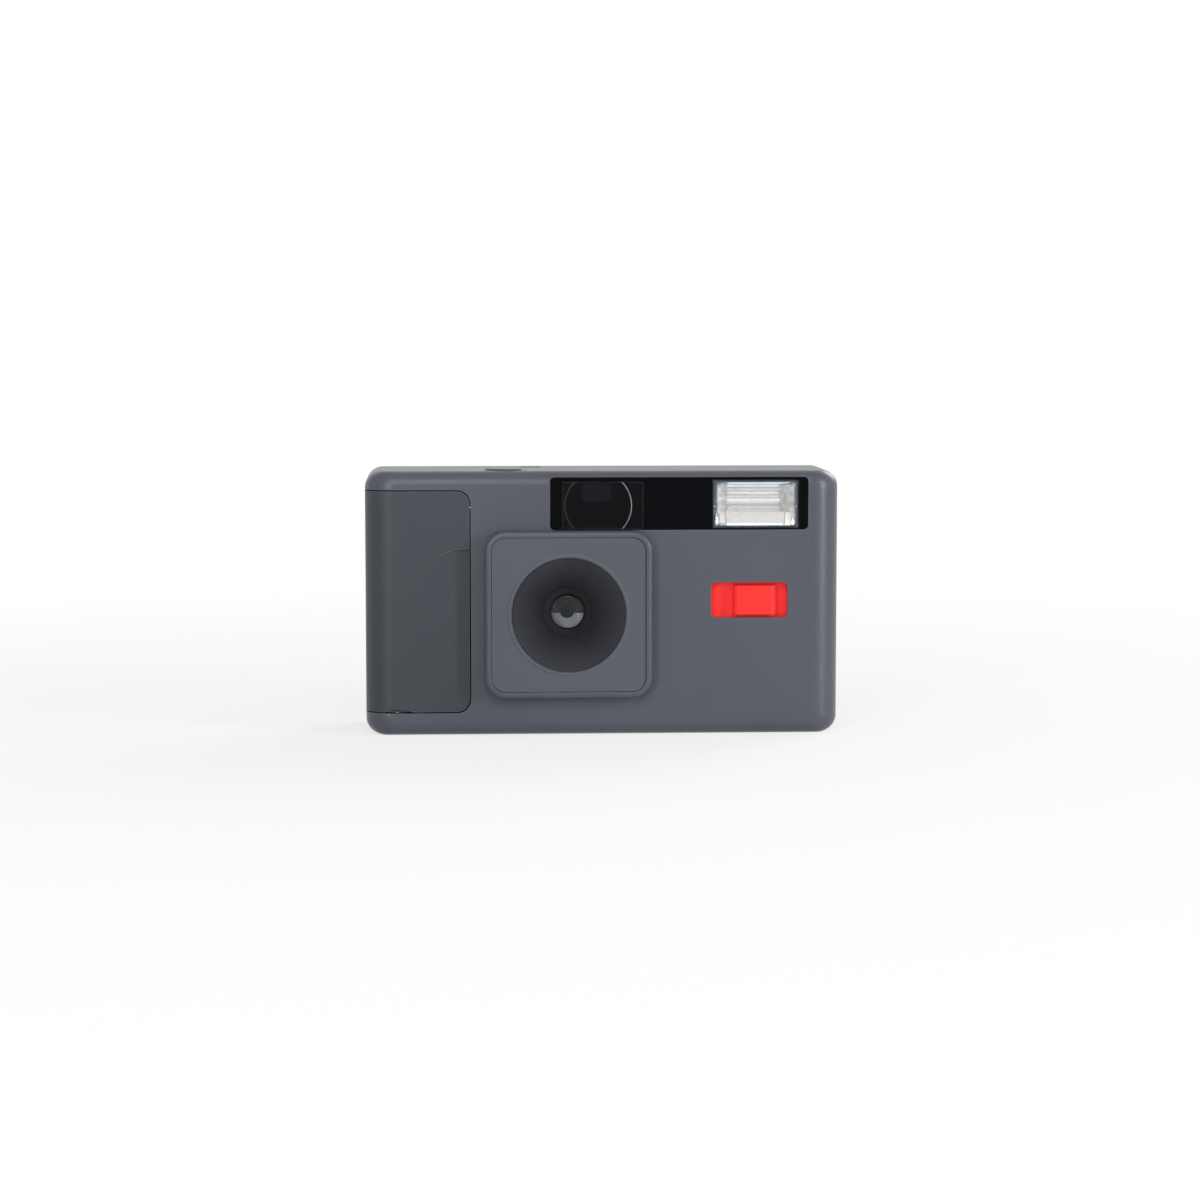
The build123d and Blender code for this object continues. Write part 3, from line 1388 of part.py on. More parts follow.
def rear_solid():
    """Rear part of the body as a full solid."""
    with BuildPart() as form:
        with BuildSketch(front(rear_y)):
            with Locations((0, body_height / 2)):
                RectangleRounded(body_width, body_height, corner_radius)
        extrude(amount=rear_y - joint_y)
        fillet(form.edges().group_by(Axis.Y)[-1], rear_edge_radius)
    return form.part


def rear_form():
    """Rear shell, open to the front."""
    with BuildPart() as form:
        add(rear_solid())
        offset(amount=-wall, openings=form.faces().sort_by(Axis.Y)[0])
    return form.part


post_edge_x = door_edge_x - joint_gap
hinge_top_z = band_low_z + 0.36 * band_height
hinge_pin_low_z = 1.2
hinge_pin_high_z = hinge_top_z - 1.0
wheel_slot_half = 6.9
wheel_slot_room = 0.5
scoop_half = 9.0
scoop_sink = 1.2
strap_high_z = door_top_z - 4.0
strap_low_z = strap_high_z - 10.0
strap_block = 2.5
strap_bar_radius = 0.9
strap_bar_x = -side + 1.7
strap_bar_y = rear_y - 1.85
strap_bar_seat = 1.0
strap_recess_x = -side + 3.6
strap_recess_y = rear_y - 3.85


def rear_blocks():
    """Solid parts of the rear frame: the post round the strap bar, and the lower hinge lug."""
    with BuildPart() as blocks:
        block(
            (-side, post_edge_x),
            (film_y + slip, rear_y),
            (strap_low_z - strap_block, strap_high_z + strap_block),
        )
        block((post_edge_x - slip, hinge_x), (hinge_y - hinge_barrel_radius, rear_y), (0, hinge_lug_height))
        column(hinge_x, hinge_y, hinge_barrel_radius, 0, hinge_lug_height)
        add(rear_solid(), mode=Mode.INTERSECT)
    return blocks.part


with BuildPart() as rear_frame:
    add(rear_form())
    block((post_edge_x, side + 1), (joint_y - 1, rear_y + 1), (-1, band_low_z), mode=Mode.SUBTRACT)
    add(rear_blocks())
    column(hinge_x, hinge_y, hinge_barrel_radius, band_low_z, hinge_top_z)
    column(hinge_x, hinge_y, hinge_pin_radius, hinge_pin_low_z, hinge_pin_high_z, mode=Mode.SUBTRACT)
    # Thumb wheel slot in a shallow scoop
    block(
        (spool_x - wheel_slot_half, spool_x + wheel_slot_half),
        (inner_rear_y - 1, rear_y + 1),
        (wheel_base_z - wheel_slot_room, wheel_base_z + wheel_thickness + wheel_slot_room),
        mode=Mode.SUBTRACT,
    )
    scoop_radius = bulge(scoop_half, scoop_sink)
    column(spool_x, rear_y - scoop_sink + scoop_radius, scoop_radius, door_top_z,
           wheel_base_z + wheel_thickness + 2 * wheel_slot_room, mode=Mode.SUBTRACT)
    with BuildSketch(front(rear_y + 1)):
        with Locations((eye_x, eye_z)):
            RectangleRounded(eye_frame_width, eye_frame_height, eye_frame_corner)
        with Locations((lamp_x, lamp_z)):
            Circle(lamp_radius + slip)
    extrude(amount=wall + 2, mode=Mode.SUBTRACT)
    # Strap recess in the post, with the holes of its bar
    block((-side - 1, strap_recess_x), (strap_recess_y, rear_y + 1), (strap_low_z, strap_high_z),
          mode=Mode.SUBTRACT)
    column(strap_bar_x, strap_bar_y, strap_bar_radius, strap_low_z - strap_bar_seat,
           strap_high_z + strap_bar_seat, mode=Mode.SUBTRACT)
rear_frame.part.label = "rear_frame"
export_step(rear_frame.part, "parts/rear_frame.step")

with BuildPart() as strap_bar:
    column(strap_bar_x, strap_bar_y, strap_bar_radius, strap_low_z - strap_bar_seat,
           strap_high_z + strap_bar_seat)
strap_bar.part.label = "strap_bar"
export_step(strap_bar.part, "parts/strap_bar.step")

with BuildPart() as hinge_pin:
    column(hinge_x, hinge_y, hinge_pin_radius, hinge_pin_low_z, hinge_pin_high_z)
hinge_pin.part.label = "hinge_pin"
export_step(hinge_pin.part, "parts/hinge_pin.step")

window_x = cassette_x - 6.5
window_half_width = 3.0
window_half_height = 10.0
window_ledge = 0.8
pane_thickness = 0.8
hook_x = (inner_side - 1.3, inner_side - 0.5)
hook_tip_y = rear_y - 8.75
hook_root = 0.4
plate_half_width = 24.0
plate_half_height = 17.0
plate_corner = 1.5
film_room = 0.15
plate_front_y = rail_y + film_room
plate_depth = 1.0
plate_travel = 0.5
plate_stud_radius = 1.2
plate_stud_places = [lens_x - gate_width / 2, lens_x + gate_width / 2]
tooth_slot_half = 3.8
tooth_slot_room = 0.4
seal_x = (hinge_x + 2.6, hinge_x + 4.1)
seal_thickness = 1.05
seal_low_z = 6.0
seal_high_z = door_top_z - 3.0
leaf_thickness = 0.25
leaf_root = 4.0
leaf_reach = 12.0
leaf_half_width = 3.0

with BuildPart() as back_door:
    add(rear_form())
    block((-side - 1, side + 1), (joint_y - 1, rear_y + 1), (door_top_z, body_height + 1), mode=Mode.SUBTRACT)
    block((-side - 1, side + 1), (joint_y - 1, joint_y + joint_gap), (-1, body_height), mode=Mode.SUBTRACT)
    block((-side - 1, hinge_x), (joint_y - 1, rear_y + 1), (-1, body_height), mode=Mode.SUBTRACT)
    block(
        (-side, hinge_x + hinge_barrel_radius + joint_gap),
        (joint_y - 1, rear_y + 1),
        (-1, hinge_lug_height + joint_gap),
        mode=Mode.SUBTRACT,
    )
    column(hinge_x, hinge_y, hinge_barrel_radius, hinge_lug_height + joint_gap, door_top_z)
    column(hinge_x, hinge_y, hinge_pin_radius + running, 0, body_height, mode=Mode.SUBTRACT)
    for x in plate_stud_places:
        bar(x, lens_z, plate_stud_radius, plate_front_y + joint_gap, inner_rear_y + slip)
    # Film window: an opening with a ledge for its pane
    with BuildSketch(front(rear_y + 1)):
        with Locations((window_x, lens_z)):
            RectangleRounded(2 * window_half_width, 2 * window_half_height, 1.0)
    extrude(amount=wall + 2, mode=Mode.SUBTRACT)
    block(
        (window_x - window_half_width - window_ledge, window_x + window_half_width + window_ledge),
        (inner_rear_y - slip, inner_rear_y + pane_thickness),
        (lens_z - window_half_height - window_ledge, lens_z + window_half_height + window_ledge),
        mode=Mode.SUBTRACT,
    )
    # Hook for the latch
    block(hook_x, (hook_tip_y, inner_rear_y + slip), (hook_low_z, hook_high_z))
    block(
        (hook_x[0], inner_side + slip),
        (joint_y + hook_root, inner_rear_y + slip),
        (hook_low_z, hook_high_z),
    )
back_door.part.label = "back_door"
export_step(back_door.part, "parts/back_door.step")

with BuildPart() as film_window:
    block(
        (window_x - window_half_width - window_ledge + slip, window_x + window_half_width + window_ledge - slip),
        (inner_rear_y, inner_rear_y + pane_thickness),
        (lens_z - window_half_height - window_ledge + slip, lens_z + window_half_height + window_ledge - slip),
    )
film_window.part.label = "film_window"
export_step(film_window.part, "parts/film_window.step")

with BuildPart() as door_light_seal:
    block(seal_x, (inner_rear_y - seal_thickness, inner_rear_y), (seal_low_z, seal_high_z))
door_light_seal.part.label = "door_light_seal"
export_step(door_light_seal.part, "parts/door_light_seal.step")

with BuildPart() as pressure_spring:
    leaf_tip_y = plate_front_y + plate_depth + plate_travel + slip / 2
    with BuildSketch(level(lens_z - leaf_half_width)):
        for sign in (1, -1):
            with BuildLine():
                Polyline(
                    (lens_x + sign * leaf_root, inner_rear_y),
                    (lens_x + sign * leaf_root, inner_rear_y - leaf_thickness),
                    (lens_x + sign * leaf_reach, leaf_tip_y),
                    (lens_x + sign * leaf_reach, leaf_tip_y + leaf_thickness),
                    (lens_x + sign * leaf_root, inner_rear_y),
                )
            make_face()
        with Locations((lens_x, inner_rear_y - leaf_thickness / 2)):
            Rectangle(2 * leaf_root, leaf_thickness)
    extrude(amount=2 * leaf_half_width)
pressure_spring.part.label = "pressure_spring"
export_step(pressure_spring.part, "parts/pressure_spring.step")

with BuildPart() as pressure_plate:
    block(
        (lens_x - plate_half_width, lens_x + plate_half_width),
        (plate_front_y, plate_front_y + plate_depth),
        (lens_z - plate_half_height, lens_z + plate_half_height),
    )
    fillet(pressure_plate.edges().filter_by(Axis.Y), plate_corner)
    for x in plate_stud_places:
        bar(x, lens_z, plate_stud_radius + joint_gap, plate_front_y - 1, plate_front_y + plate_depth + 1,
            mode=Mode.SUBTRACT)
    # Slot that the sprocket's teeth reach into
    block(
        (sprocket_x - tooth_slot_half, sprocket_x + tooth_slot_half),
        (plate_front_y - 1, plate_front_y + plate_depth + 1),
        (sprocket_low_z - tooth_slot_room, sprocket_high_z + tooth_slot_room),
        mode=Mode.SUBTRACT,
    )
pressure_plate.part.label = "pressure_plate"
export_step(pressure_plate.part, "parts/pressure_plate.step")

# Latch of the back door, worked by a thumb piece on the side

latch_inner_x = inner_side - latch_room + 2 * slip
latch_outer_x = inner_side - joint_gap
latch_low_z = latch_ledge_z + 8.5
latch_spring_radius = 0.5
thumb_ribs = 4
thumb_rib_radius = 0.3
latch_high_z = hook_low_z - joint_gap
latch_front = 3.5
latch_back = 4.5
thumb_width = latch_slot_width - 2 * joint_gap
thumb_high_z = latch_slot_z + latch_slot_height / 2 - joint_gap
thumb_low_z = latch_slot_z - latch_slot_height / 2 + joint_gap + latch_travel

with BuildPart() as door_latch:
    block(
        (latch_inner_x, latch_outer_x),
        (latch_slot_y - latch_front, latch_slot_y + latch_back),
        (latch_low_z, latch_high_z),
    )
    block(
        (latch_outer_x - slip, side - slip),
        (latch_slot_y - thumb_width / 2, latch_slot_y + thumb_width / 2),
        (thumb_low_z, thumb_high_z),
    )
    for rib in range(thumb_ribs):
        z = thumb_low_z + (rib + 0.5) * (thumb_high_z - thumb_low_z) / thumb_ribs
        bar(side - slip, z, thumb_rib_radius, latch_slot_y - latch_slot_width,
            latch_slot_y + latch_slot_width, mode=Mode.SUBTRACT)
door_latch.part.label = "door_latch"
export_step(door_latch.part, "parts/door_latch.step")

with BuildPart() as latch_spring:
    column((latch_inner_x + latch_outer_x) / 2, latch_slot_y, latch_spring_radius, latch_ledge_z, latch_low_z)
latch_spring.part.label = "latch_spring"
export_step(latch_spring.part, "parts/latch_spring.step")
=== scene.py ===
import json
import math

import bmesh
import bpy
import numpy as np
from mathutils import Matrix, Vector

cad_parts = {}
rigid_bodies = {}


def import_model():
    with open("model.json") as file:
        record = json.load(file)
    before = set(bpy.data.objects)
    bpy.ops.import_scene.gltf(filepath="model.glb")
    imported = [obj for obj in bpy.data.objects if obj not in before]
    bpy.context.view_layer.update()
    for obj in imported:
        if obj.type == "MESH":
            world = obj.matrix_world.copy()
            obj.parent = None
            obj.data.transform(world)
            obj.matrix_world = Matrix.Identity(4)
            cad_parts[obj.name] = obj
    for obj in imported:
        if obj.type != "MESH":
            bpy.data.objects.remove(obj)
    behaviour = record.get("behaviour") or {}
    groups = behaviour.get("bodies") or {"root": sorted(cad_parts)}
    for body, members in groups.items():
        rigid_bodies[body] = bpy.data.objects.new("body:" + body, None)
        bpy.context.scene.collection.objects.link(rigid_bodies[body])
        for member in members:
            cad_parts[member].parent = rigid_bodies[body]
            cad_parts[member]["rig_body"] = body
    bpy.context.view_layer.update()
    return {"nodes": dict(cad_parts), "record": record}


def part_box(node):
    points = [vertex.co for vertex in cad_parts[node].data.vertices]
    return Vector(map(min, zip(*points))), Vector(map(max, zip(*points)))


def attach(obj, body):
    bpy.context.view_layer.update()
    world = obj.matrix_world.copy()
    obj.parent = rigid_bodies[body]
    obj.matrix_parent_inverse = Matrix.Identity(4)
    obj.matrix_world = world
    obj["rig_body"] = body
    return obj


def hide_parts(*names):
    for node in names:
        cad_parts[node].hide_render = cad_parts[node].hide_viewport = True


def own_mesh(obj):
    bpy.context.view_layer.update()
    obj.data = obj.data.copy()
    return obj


# A compact film camera in dark matte plastic, seen nearly straight on, in metres

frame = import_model()
nodes = frame["nodes"]
scene = bpy.context.scene
MM = 0.001


def middle(node):
    """Centre of a CAD node's box."""
    low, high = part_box(node)
    return (low + high) / 2


# Camera, in the photograph's frame of 1200 x 1200 pixels
VIEW_ELEVATION = math.radians(5.2)
VIEW_AZIMUTH = math.radians(-3.0)
VIEW_DISTANCE = 0.75
VIEW_CENTRE = Vector((-0.0001, 0, 0.0314))
FOCAL_PIXELS = 3072
FRAME_PIXELS = 1200
SENSOR = 36.0


def add_camera():
    """Camera that looks at the middle of the body from in front, a little above and to its left."""
    data = bpy.data.cameras.new("photo_camera")
    data.sensor_width = SENSOR
    data.lens = FOCAL_PIXELS / FRAME_PIXELS * SENSOR
    camera = bpy.data.objects.new("photo_camera", data)
    scene.collection.objects.link(camera)
    level = math.cos(VIEW_ELEVATION)
    back = Vector((level * math.sin(VIEW_AZIMUTH), -level * math.cos(VIEW_AZIMUTH),
                   math.sin(VIEW_ELEVATION)))
    camera.location = VIEW_CENTRE + back * VIEW_DISTANCE
    camera.rotation_euler = (-back).to_track_quat("-Z", "Y").to_euler()
    scene.camera = camera


# Node groups that more than one finish uses


def socket_of(group, name, kind, direction, value=None):
    """Adds one socket to a group, with its starting value."""
    made = group.interface.new_socket(name=name, in_out=direction, socket_type=kind)
    if value is not None:
        made.default_value = value


class Sheet:
    """A node tree that is being filled: adds nodes, sets their values and links them."""

    def __init__(self, tree):
        self.tree = tree

    def add(self, kind, values=None, **settings):
        node = self.tree.nodes.new(kind)
        for key, value in settings.items():
            setattr(node, key, value)
        for key, value in (values or {}).items():
            if isinstance(value, bpy.types.NodeSocket):
                self.tree.links.new(value, node.inputs[key])
            else:
                node.inputs[key].default_value = value
        return node

    def math(self, operation, first, second=0.0):
        return self.add("ShaderNodeMath", {0: first, 1: second}, operation=operation).outputs[0]

    def spread(self, value, low, high, to_low=0.0, to_high=1.0):
        found = self.add("ShaderNodeMapRange", {0: value, 1: low, 2: high, 3: to_low, 4: to_high})
        return found.outputs[0]

    def mix(self, share, first, second):
        found = self.add("ShaderNodeMix", {0: share, 6: first, 7: second}, data_type="RGBA")
        return found.outputs[2]

    def from_axis(self, place, centre):
        """Offset of a place from a centre, and its distance from the axis along Y through it."""
        offset = self.add("ShaderNodeVectorMath", {0: place, 1: centre}, operation="SUBTRACT").outputs[0]
        flat = self.add("ShaderNodeVectorMath", {0: offset, 1: (1, 0, 1)}, operation="MULTIPLY")
        distance = self.add("ShaderNodeVectorMath", {0: flat.outputs[0]}, operation="LENGTH")
        return offset, distance.outputs["Value"]


def paint(colour, strength=1.0):
    """A colour as a socket takes it, made lighter or darker by its strength."""
    return tuple(part * strength for part in colour) + (1,)


GRAIN_CELLS = 0.6
DRIFT_SCALE = 22.0
DRIFT_RANGE = (0.3, 0.7)
SMUDGE_SCALE = 55.0
SMUDGE_RANGE = (0.5, 0.75)


def make_grain():
    """Moulded grain: fine bumps, a slow drift of shade and faint smudges, all on object coordinates."""
    group = bpy.data.node_groups.new("moulded_grain", "ShaderNodeTree")
    socket_of(group, "Place", "NodeSocketVector", "INPUT")
    socket_of(group, "Grain Scale", "NodeSocketFloat", "INPUT", 5000.0)
    for name in ("Height", "Drift", "Smudge"):
        socket_of(group, name, "NodeSocketFloat", "OUTPUT")
    sheet = Sheet(group)
    inlet = sheet.add("NodeGroupInput")
    place, scale = inlet.outputs["Place"], inlet.outputs["Grain Scale"]
    fine = sheet.add("ShaderNodeTexNoise",
                     {"Vector": place, "Scale": scale, "Detail": 2.0, "Roughness": 0.6})
    cells = sheet.add("ShaderNodeTexVoronoi", {"Vector": place, "Scale": scale})
    pits = sheet.math("MULTIPLY", cells.outputs["Distance"], GRAIN_CELLS)
    height = sheet.math("ADD", fine.outputs[0], pits)
    drift = sheet.add("ShaderNodeTexNoise", {"Vector": place, "Scale": DRIFT_SCALE, "Detail": 3.0})
    smudge = sheet.add("ShaderNodeTexNoise",
                       {"Vector": place, "Scale": SMUDGE_SCALE, "Detail": 5.0, "Roughness": 0.6,
                        "Distortion": 0.6})
    outlet = sheet.add("NodeGroupOutput")
    group.links.new(height, outlet.inputs["Height"])
    group.links.new(sheet.spread(drift.outputs[0], *DRIFT_RANGE), outlet.inputs["Drift"])
    group.links.new(sheet.spread(smudge.outputs[0], *SMUDGE_RANGE), outlet.inputs["Smudge"])
    return group


WEAR_AND_HIGHLIGHT_RADIUS = 0.4 * MM
# Lean of the rounded normal, as a cosine, at which edge wear begins and is full; on clear mouldings the
# same mask lays a painted highlight on the edges
WEAR_AND_HIGHLIGHT_RANGE = (0.98, 0.75)


def make_edge_wear_and_highlight():
    """Mask that is 1 on edges: how far the rounded normal leans from the surface's own."""
    group = bpy.data.node_groups.new("edge_wear_and_highlight", "ShaderNodeTree")
    socket_of(group, "Radius", "NodeSocketFloat", "INPUT", WEAR_AND_HIGHLIGHT_RADIUS)
    socket_of(group, "Mask", "NodeSocketFloat", "OUTPUT")
    sheet = Sheet(group)
    inlet = sheet.add("NodeGroupInput")
    rounded = sheet.add("ShaderNodeBevel", {"Radius": inlet.outputs["Radius"]}, samples=6)
    surface = sheet.add("ShaderNodeNewGeometry")
    lean = sheet.add("ShaderNodeVectorMath", {0: rounded.outputs[0], 1: surface.outputs["Normal"]},
                     operation="DOT_PRODUCT")
    outlet = sheet.add("NodeGroupOutput")
    group.links.new(sheet.spread(lean.outputs["Value"], *WEAR_AND_HIGHLIGHT_RANGE), outlet.inputs["Mask"])
    return group


GRAIN = make_grain()
EDGE_WEAR_AND_HIGHLIGHT = make_edge_wear_and_highlight()
finishes = {}


def start_finish(name):
    """New material with its shader and object coordinates ready."""
    material = bpy.data.materials.new(name)
    material.use_nodes = True
    sheet = Sheet(material.node_tree)
    shader = material.node_tree.nodes["Principled BSDF"]
    place = sheet.add("ShaderNodeTexCoord").outputs["Object"]
    finishes[name] = material
    return sheet, shader, place


def connect(sheet, value, shader, name):
    sheet.tree.links.new(value, shader.inputs[name])


# Painted shade in the lens plate's stepped cone, darkest at the floor radius and gone just past the
# mouth
WELL_FLOOR = 5.5 * MM
WELL_MOUTH = 13.6 * MM
WELL_EDGE = 0.3 * MM
WELL_PALEST = 0.35
WELL_PAINTED_SHADE = 0.06


def well_painted_shade(sheet, place):
    """Painted shade in the stepped cone: how much of its own colour the lens plate shows, all of it
    outside the cone, and less and less of it from the cone's mouth down to the lens, by distance from
    the lens axis."""
    offset, radius = sheet.from_axis(place, middle("lens_element"))
    inside = sheet.spread(radius, WELL_FLOOR, WELL_MOUTH, 0.0, WELL_PALEST)
    outside = sheet.spread(radius, WELL_MOUTH, WELL_MOUTH + WELL_EDGE)
    return sheet.math("MAXIMUM", inside, outside)


GRAIN_HEIGHT = 0.02 * MM
UNEVEN = 0.07
WORN_GREY = 0.35
SMUDGE_GLOSS = 0.86


def moulded(name, colour, rough, grain=5200.0, depth=0.35, wear=0.25, shine=0.3, painted_well_shade=False):
    """Moulded plastic: fine grain, slightly uneven shade, smudges in its gloss and paler worn edges.
    The lens plate's also darkens down its well, as painted shade."""
    sheet, shader, place = start_finish(name)
    surface = sheet.add("ShaderNodeGroup", node_tree=GRAIN)
    surface.inputs["Grain Scale"].default_value = grain
    sheet.tree.links.new(place, surface.inputs["Place"])
    worn = sheet.add("ShaderNodeGroup", node_tree=EDGE_WEAR_AND_HIGHLIGHT)
    edge = paint([max(part, part + wear * (WORN_GREY - part)) for part in colour])
    shade = sheet.mix(surface.outputs["Drift"], paint(colour, 1 - UNEVEN), paint(colour, 1 + UNEVEN))
    shade = sheet.mix(worn.outputs["Mask"], shade, edge)
    if painted_well_shade:
        # Painted shade: the lens plate darkens down its stepped cone towards the lens
        shade = sheet.mix(well_painted_shade(sheet, place), paint(colour, WELL_PAINTED_SHADE), shade)
    connect(sheet, shade, shader, "Base Color")
    gloss = sheet.spread(surface.outputs["Smudge"], 0.0, 1.0, rough, rough * SMUDGE_GLOSS)
    connect(sheet, gloss, shader, "Roughness")
    bump = sheet.add("ShaderNodeBump", {"Strength": depth, "Distance": GRAIN_HEIGHT,
                                        "Height": surface.outputs["Height"]})
    connect(sheet, bump.outputs[0], shader, "Normal")
    shader.inputs["Specular IOR Level"].default_value = shine


SPOT_RADIUS = 8.0 * MM
SPOT_SHIFT = 1.15 * MM
SPOT_LINE = 0.13 * MM
SPOT_CORE = 0.4
SPOT_FAINTEST = 0.12


def spot_rim_highlight(sheet, place):
    """Painted highlight on the rim of the round lens spot in the finder's front lens: 1 on a thin ring
    about the spot's axis, full at its right and faint at its left, as if lit from the right."""
    centre = middle("viewfinder_front_lens") - Vector((SPOT_SHIFT, 0, 0))
    offset, radius = sheet.from_axis(place, centre)
    away = sheet.math("ABSOLUTE", sheet.math("SUBTRACT", radius, SPOT_RADIUS))
    ring = sheet.spread(away, SPOT_LINE * SPOT_CORE, SPOT_LINE, 1.0, 0.0)
    across = sheet.add("ShaderNodeSeparateXYZ", {0: offset}).outputs["X"]
    brightness = sheet.spread(across, -SPOT_RADIUS, SPOT_RADIUS, SPOT_FAINTEST, 1.0)
    return sheet.math("MULTIPLY", ring, brightness)


def by_face_shade(sheet, tint, shade):
    """Faces take the second colour, a painted shade, by the shade value that they carry."""
    kept = sheet.add("ShaderNodeAttribute", attribute_name="shade")
    return sheet.mix(kept.outputs["Fac"], tint, paint(shade))


FLOW_SCALE = 60.0
FLOW_TINT = 0.97
FLOW_RANGE = (0.3, 0.7)
FLOW_GLOSS = 2.0
EDGE_LIGHT = 0.2


def clear(name, colour, rough=0.02, ior=1.49, through=1.0, edge=None, shade=None):
    """Clear moulding: transparent, with faint flow marks in its gloss. Its edges and the rim of its
    lens spot may take a painted highlight colour, and the faces whose shade value is 1 a painted shade
    colour."""
    sheet, shader, place = start_finish(name)
    flow = sheet.add("ShaderNodeTexNoise", {"Vector": place, "Scale": FLOW_SCALE, "Detail": 2.0})
    tint = sheet.mix(flow.outputs[0], paint(colour, FLOW_TINT), paint(colour))
    if edge:
        # Painted highlight: a faint light line on the edges and a light ring at the lens spot's rim
        worn = sheet.add("ShaderNodeGroup", node_tree=EDGE_WEAR_AND_HIGHLIGHT)
        faint = sheet.math("MULTIPLY", worn.outputs["Mask"], EDGE_LIGHT)
        painted_highlight = sheet.math("MAXIMUM", faint, spot_rim_highlight(sheet, place))
        tint = sheet.mix(painted_highlight, tint, paint(edge))
    if shade:
        # Painted shade: faces whose shade value is 1 take the shade colour
        tint = by_face_shade(sheet, tint, shade)
    connect(sheet, tint, shader, "Base Color")
    gloss = sheet.spread(flow.outputs[0], *FLOW_RANGE, rough, rough * FLOW_GLOSS)
    connect(sheet, gloss, shader, "Roughness")
    shader.inputs["IOR"].default_value = ior
    shader.inputs["Transmission Weight"].default_value = through


STREAK_SCALE = 900.0
STREAK_LENGTH = (1.0, 1.0, 0.05)
STREAK_TINT = 0.85
STREAK_GLOSS = 0.3
STREAK_RANGE = (0.2, 0.8)


def metal(name, colour, rough, shade=None):
    """Plated or drawn metal with fine streaks along Z. Faces take its painted shade colour by their
    shade value."""
    sheet, shader, place = start_finish(name)
    long = sheet.add("ShaderNodeMapping", {"Vector": place, "Scale": STREAK_LENGTH})
    streaks = sheet.add("ShaderNodeTexNoise",
                        {"Vector": long.outputs[0], "Scale": STREAK_SCALE, "Detail": 3.0})
    tint = sheet.mix(streaks.outputs[0], paint(colour, STREAK_TINT), paint(colour))
    # Painted shade: faces darken to the shade colour by their shade value
    if shade:
        tint = by_face_shade(sheet, tint, shade)
    connect(sheet, tint, shader, "Base Color")
    smooth, dull = rough * (1 - STREAK_GLOSS), rough * (1 + STREAK_GLOSS)
    gloss = sheet.spread(streaks.outputs[0], *STREAK_RANGE, smooth, dull)
    connect(sheet, gloss, shader, "Roughness")
    shader.inputs["Metallic"].default_value = 1.0


def make_finishes():
    """All finishes, under the names of the record's material slots, and one for the finder's front lens
    alone."""
    moulded("body_plastic", (0.0655, 0.071, 0.088), 0.34, depth=0.6)
    moulded("grip_plastic", (0.035, 0.039, 0.048), 0.46, depth=0.6)
    moulded("lens_plate_plastic", (0.08, 0.086, 0.106), 0.45, wear=0.4, shine=0.15, painted_well_shade=True)
    moulded("black_plastic", (0.01, 0.0105, 0.013), 0.6, wear=0.08, shine=0.12)
    moulded("button_plastic", (0.05, 0.054, 0.064), 0.35, grain=6500.0, depth=0.15)
    moulded("window_plastic", (0.0012, 0.0014, 0.0024), 0.06, depth=0.0, wear=0.02, shine=0.05)
    moulded("red_plastic", (0.9, 0.022, 0.02), 0.32, grain=6500.0, depth=0.12, wear=0.1)
    moulded("white_plastic", (0.68, 0.68, 0.66), 0.4, wear=0.0)
    moulded("board_laminate", (0.36, 0.2, 0.07), 0.5, grain=1500.0)
    moulded("coil_tape", (0.6, 0.45, 0.06), 0.4, grain=1500.0)
    moulded("seal_foam", (0.012, 0.012, 0.013), 0.95, grain=2200.0, depth=1.0, shine=0.1)
    moulded("black_metal", (0.014, 0.014, 0.015), 0.4, grain=3000.0, depth=0.2)
    moulded("lamp_plastic", (0.8, 0.22, 0.05), 0.12, depth=0.0, wear=0.0)
    moulded("smoke_plastic", (0.012, 0.012, 0.014), 0.08, depth=0.0, wear=0.0)
    clear("clear_plastic", (0.86, 0.88, 0.9))
    # The finder lens's near-black tint is painted shade that darkens the view into the finder; its light
    # edge colour is a painted highlight
    clear("finder_painted_shade", (0.012, 0.013, 0.017), ior=1.15, through=0.75, edge=(0.9, 0.95, 1.0))
    # The flash pane's bevel colour is painted shade
    clear("flash_plastic", (0.98, 0.98, 0.97), ior=1.3, through=0.85, shade=(0.46, 0.52, 0.6))
    clear("lens_glass", (0.75, 0.78, 0.8), rough=0.0, ior=1.2)
    clear("tube_glass", (0.9, 0.92, 0.95), rough=0.02)
    # The mirror's shade colour is the painted shade of its facets
    metal("mirror_metal", (0.93, 0.92, 0.91), 0.14, shade=(0.07, 0.065, 0.06))
    metal("contact_metal", (0.62, 0.6, 0.56), 0.3)
    metal("screw_steel", (0.4, 0.4, 0.41), 0.35)


slots = {part["node"]: part["material_slot"] for part in frame["record"]["subparts"]}
SINGLE_FINISHES = {"viewfinder_front_lens": "finder_painted_shade", "aperture_plate": "stop_metal"}


def finish_of(node):
    """Finish of a node: its own one, or that of its slot."""
    return finishes[SINGLE_FINISHES.get(node, slots[node])]


STOP_EDGE_DROP = 0.5 * MM
STOP_EDGE_BLUR = 0.05 * MM
STOP_GRAIN = 3000.0
STOP_GRAIN_RANGE = (0.3, 0.7)
STOP_TINT_RANGE = (0.9, 1.0)
STOP_GLOSS_RANGE = (0.35, 0.45)
# Black upper half, and light grey lower half that is a painted reflection
STOP_BLACK = (0.01, 0.01, 0.011)
STOP_PAINTED_REFLECTION = (0.26, 0.26, 0.27)


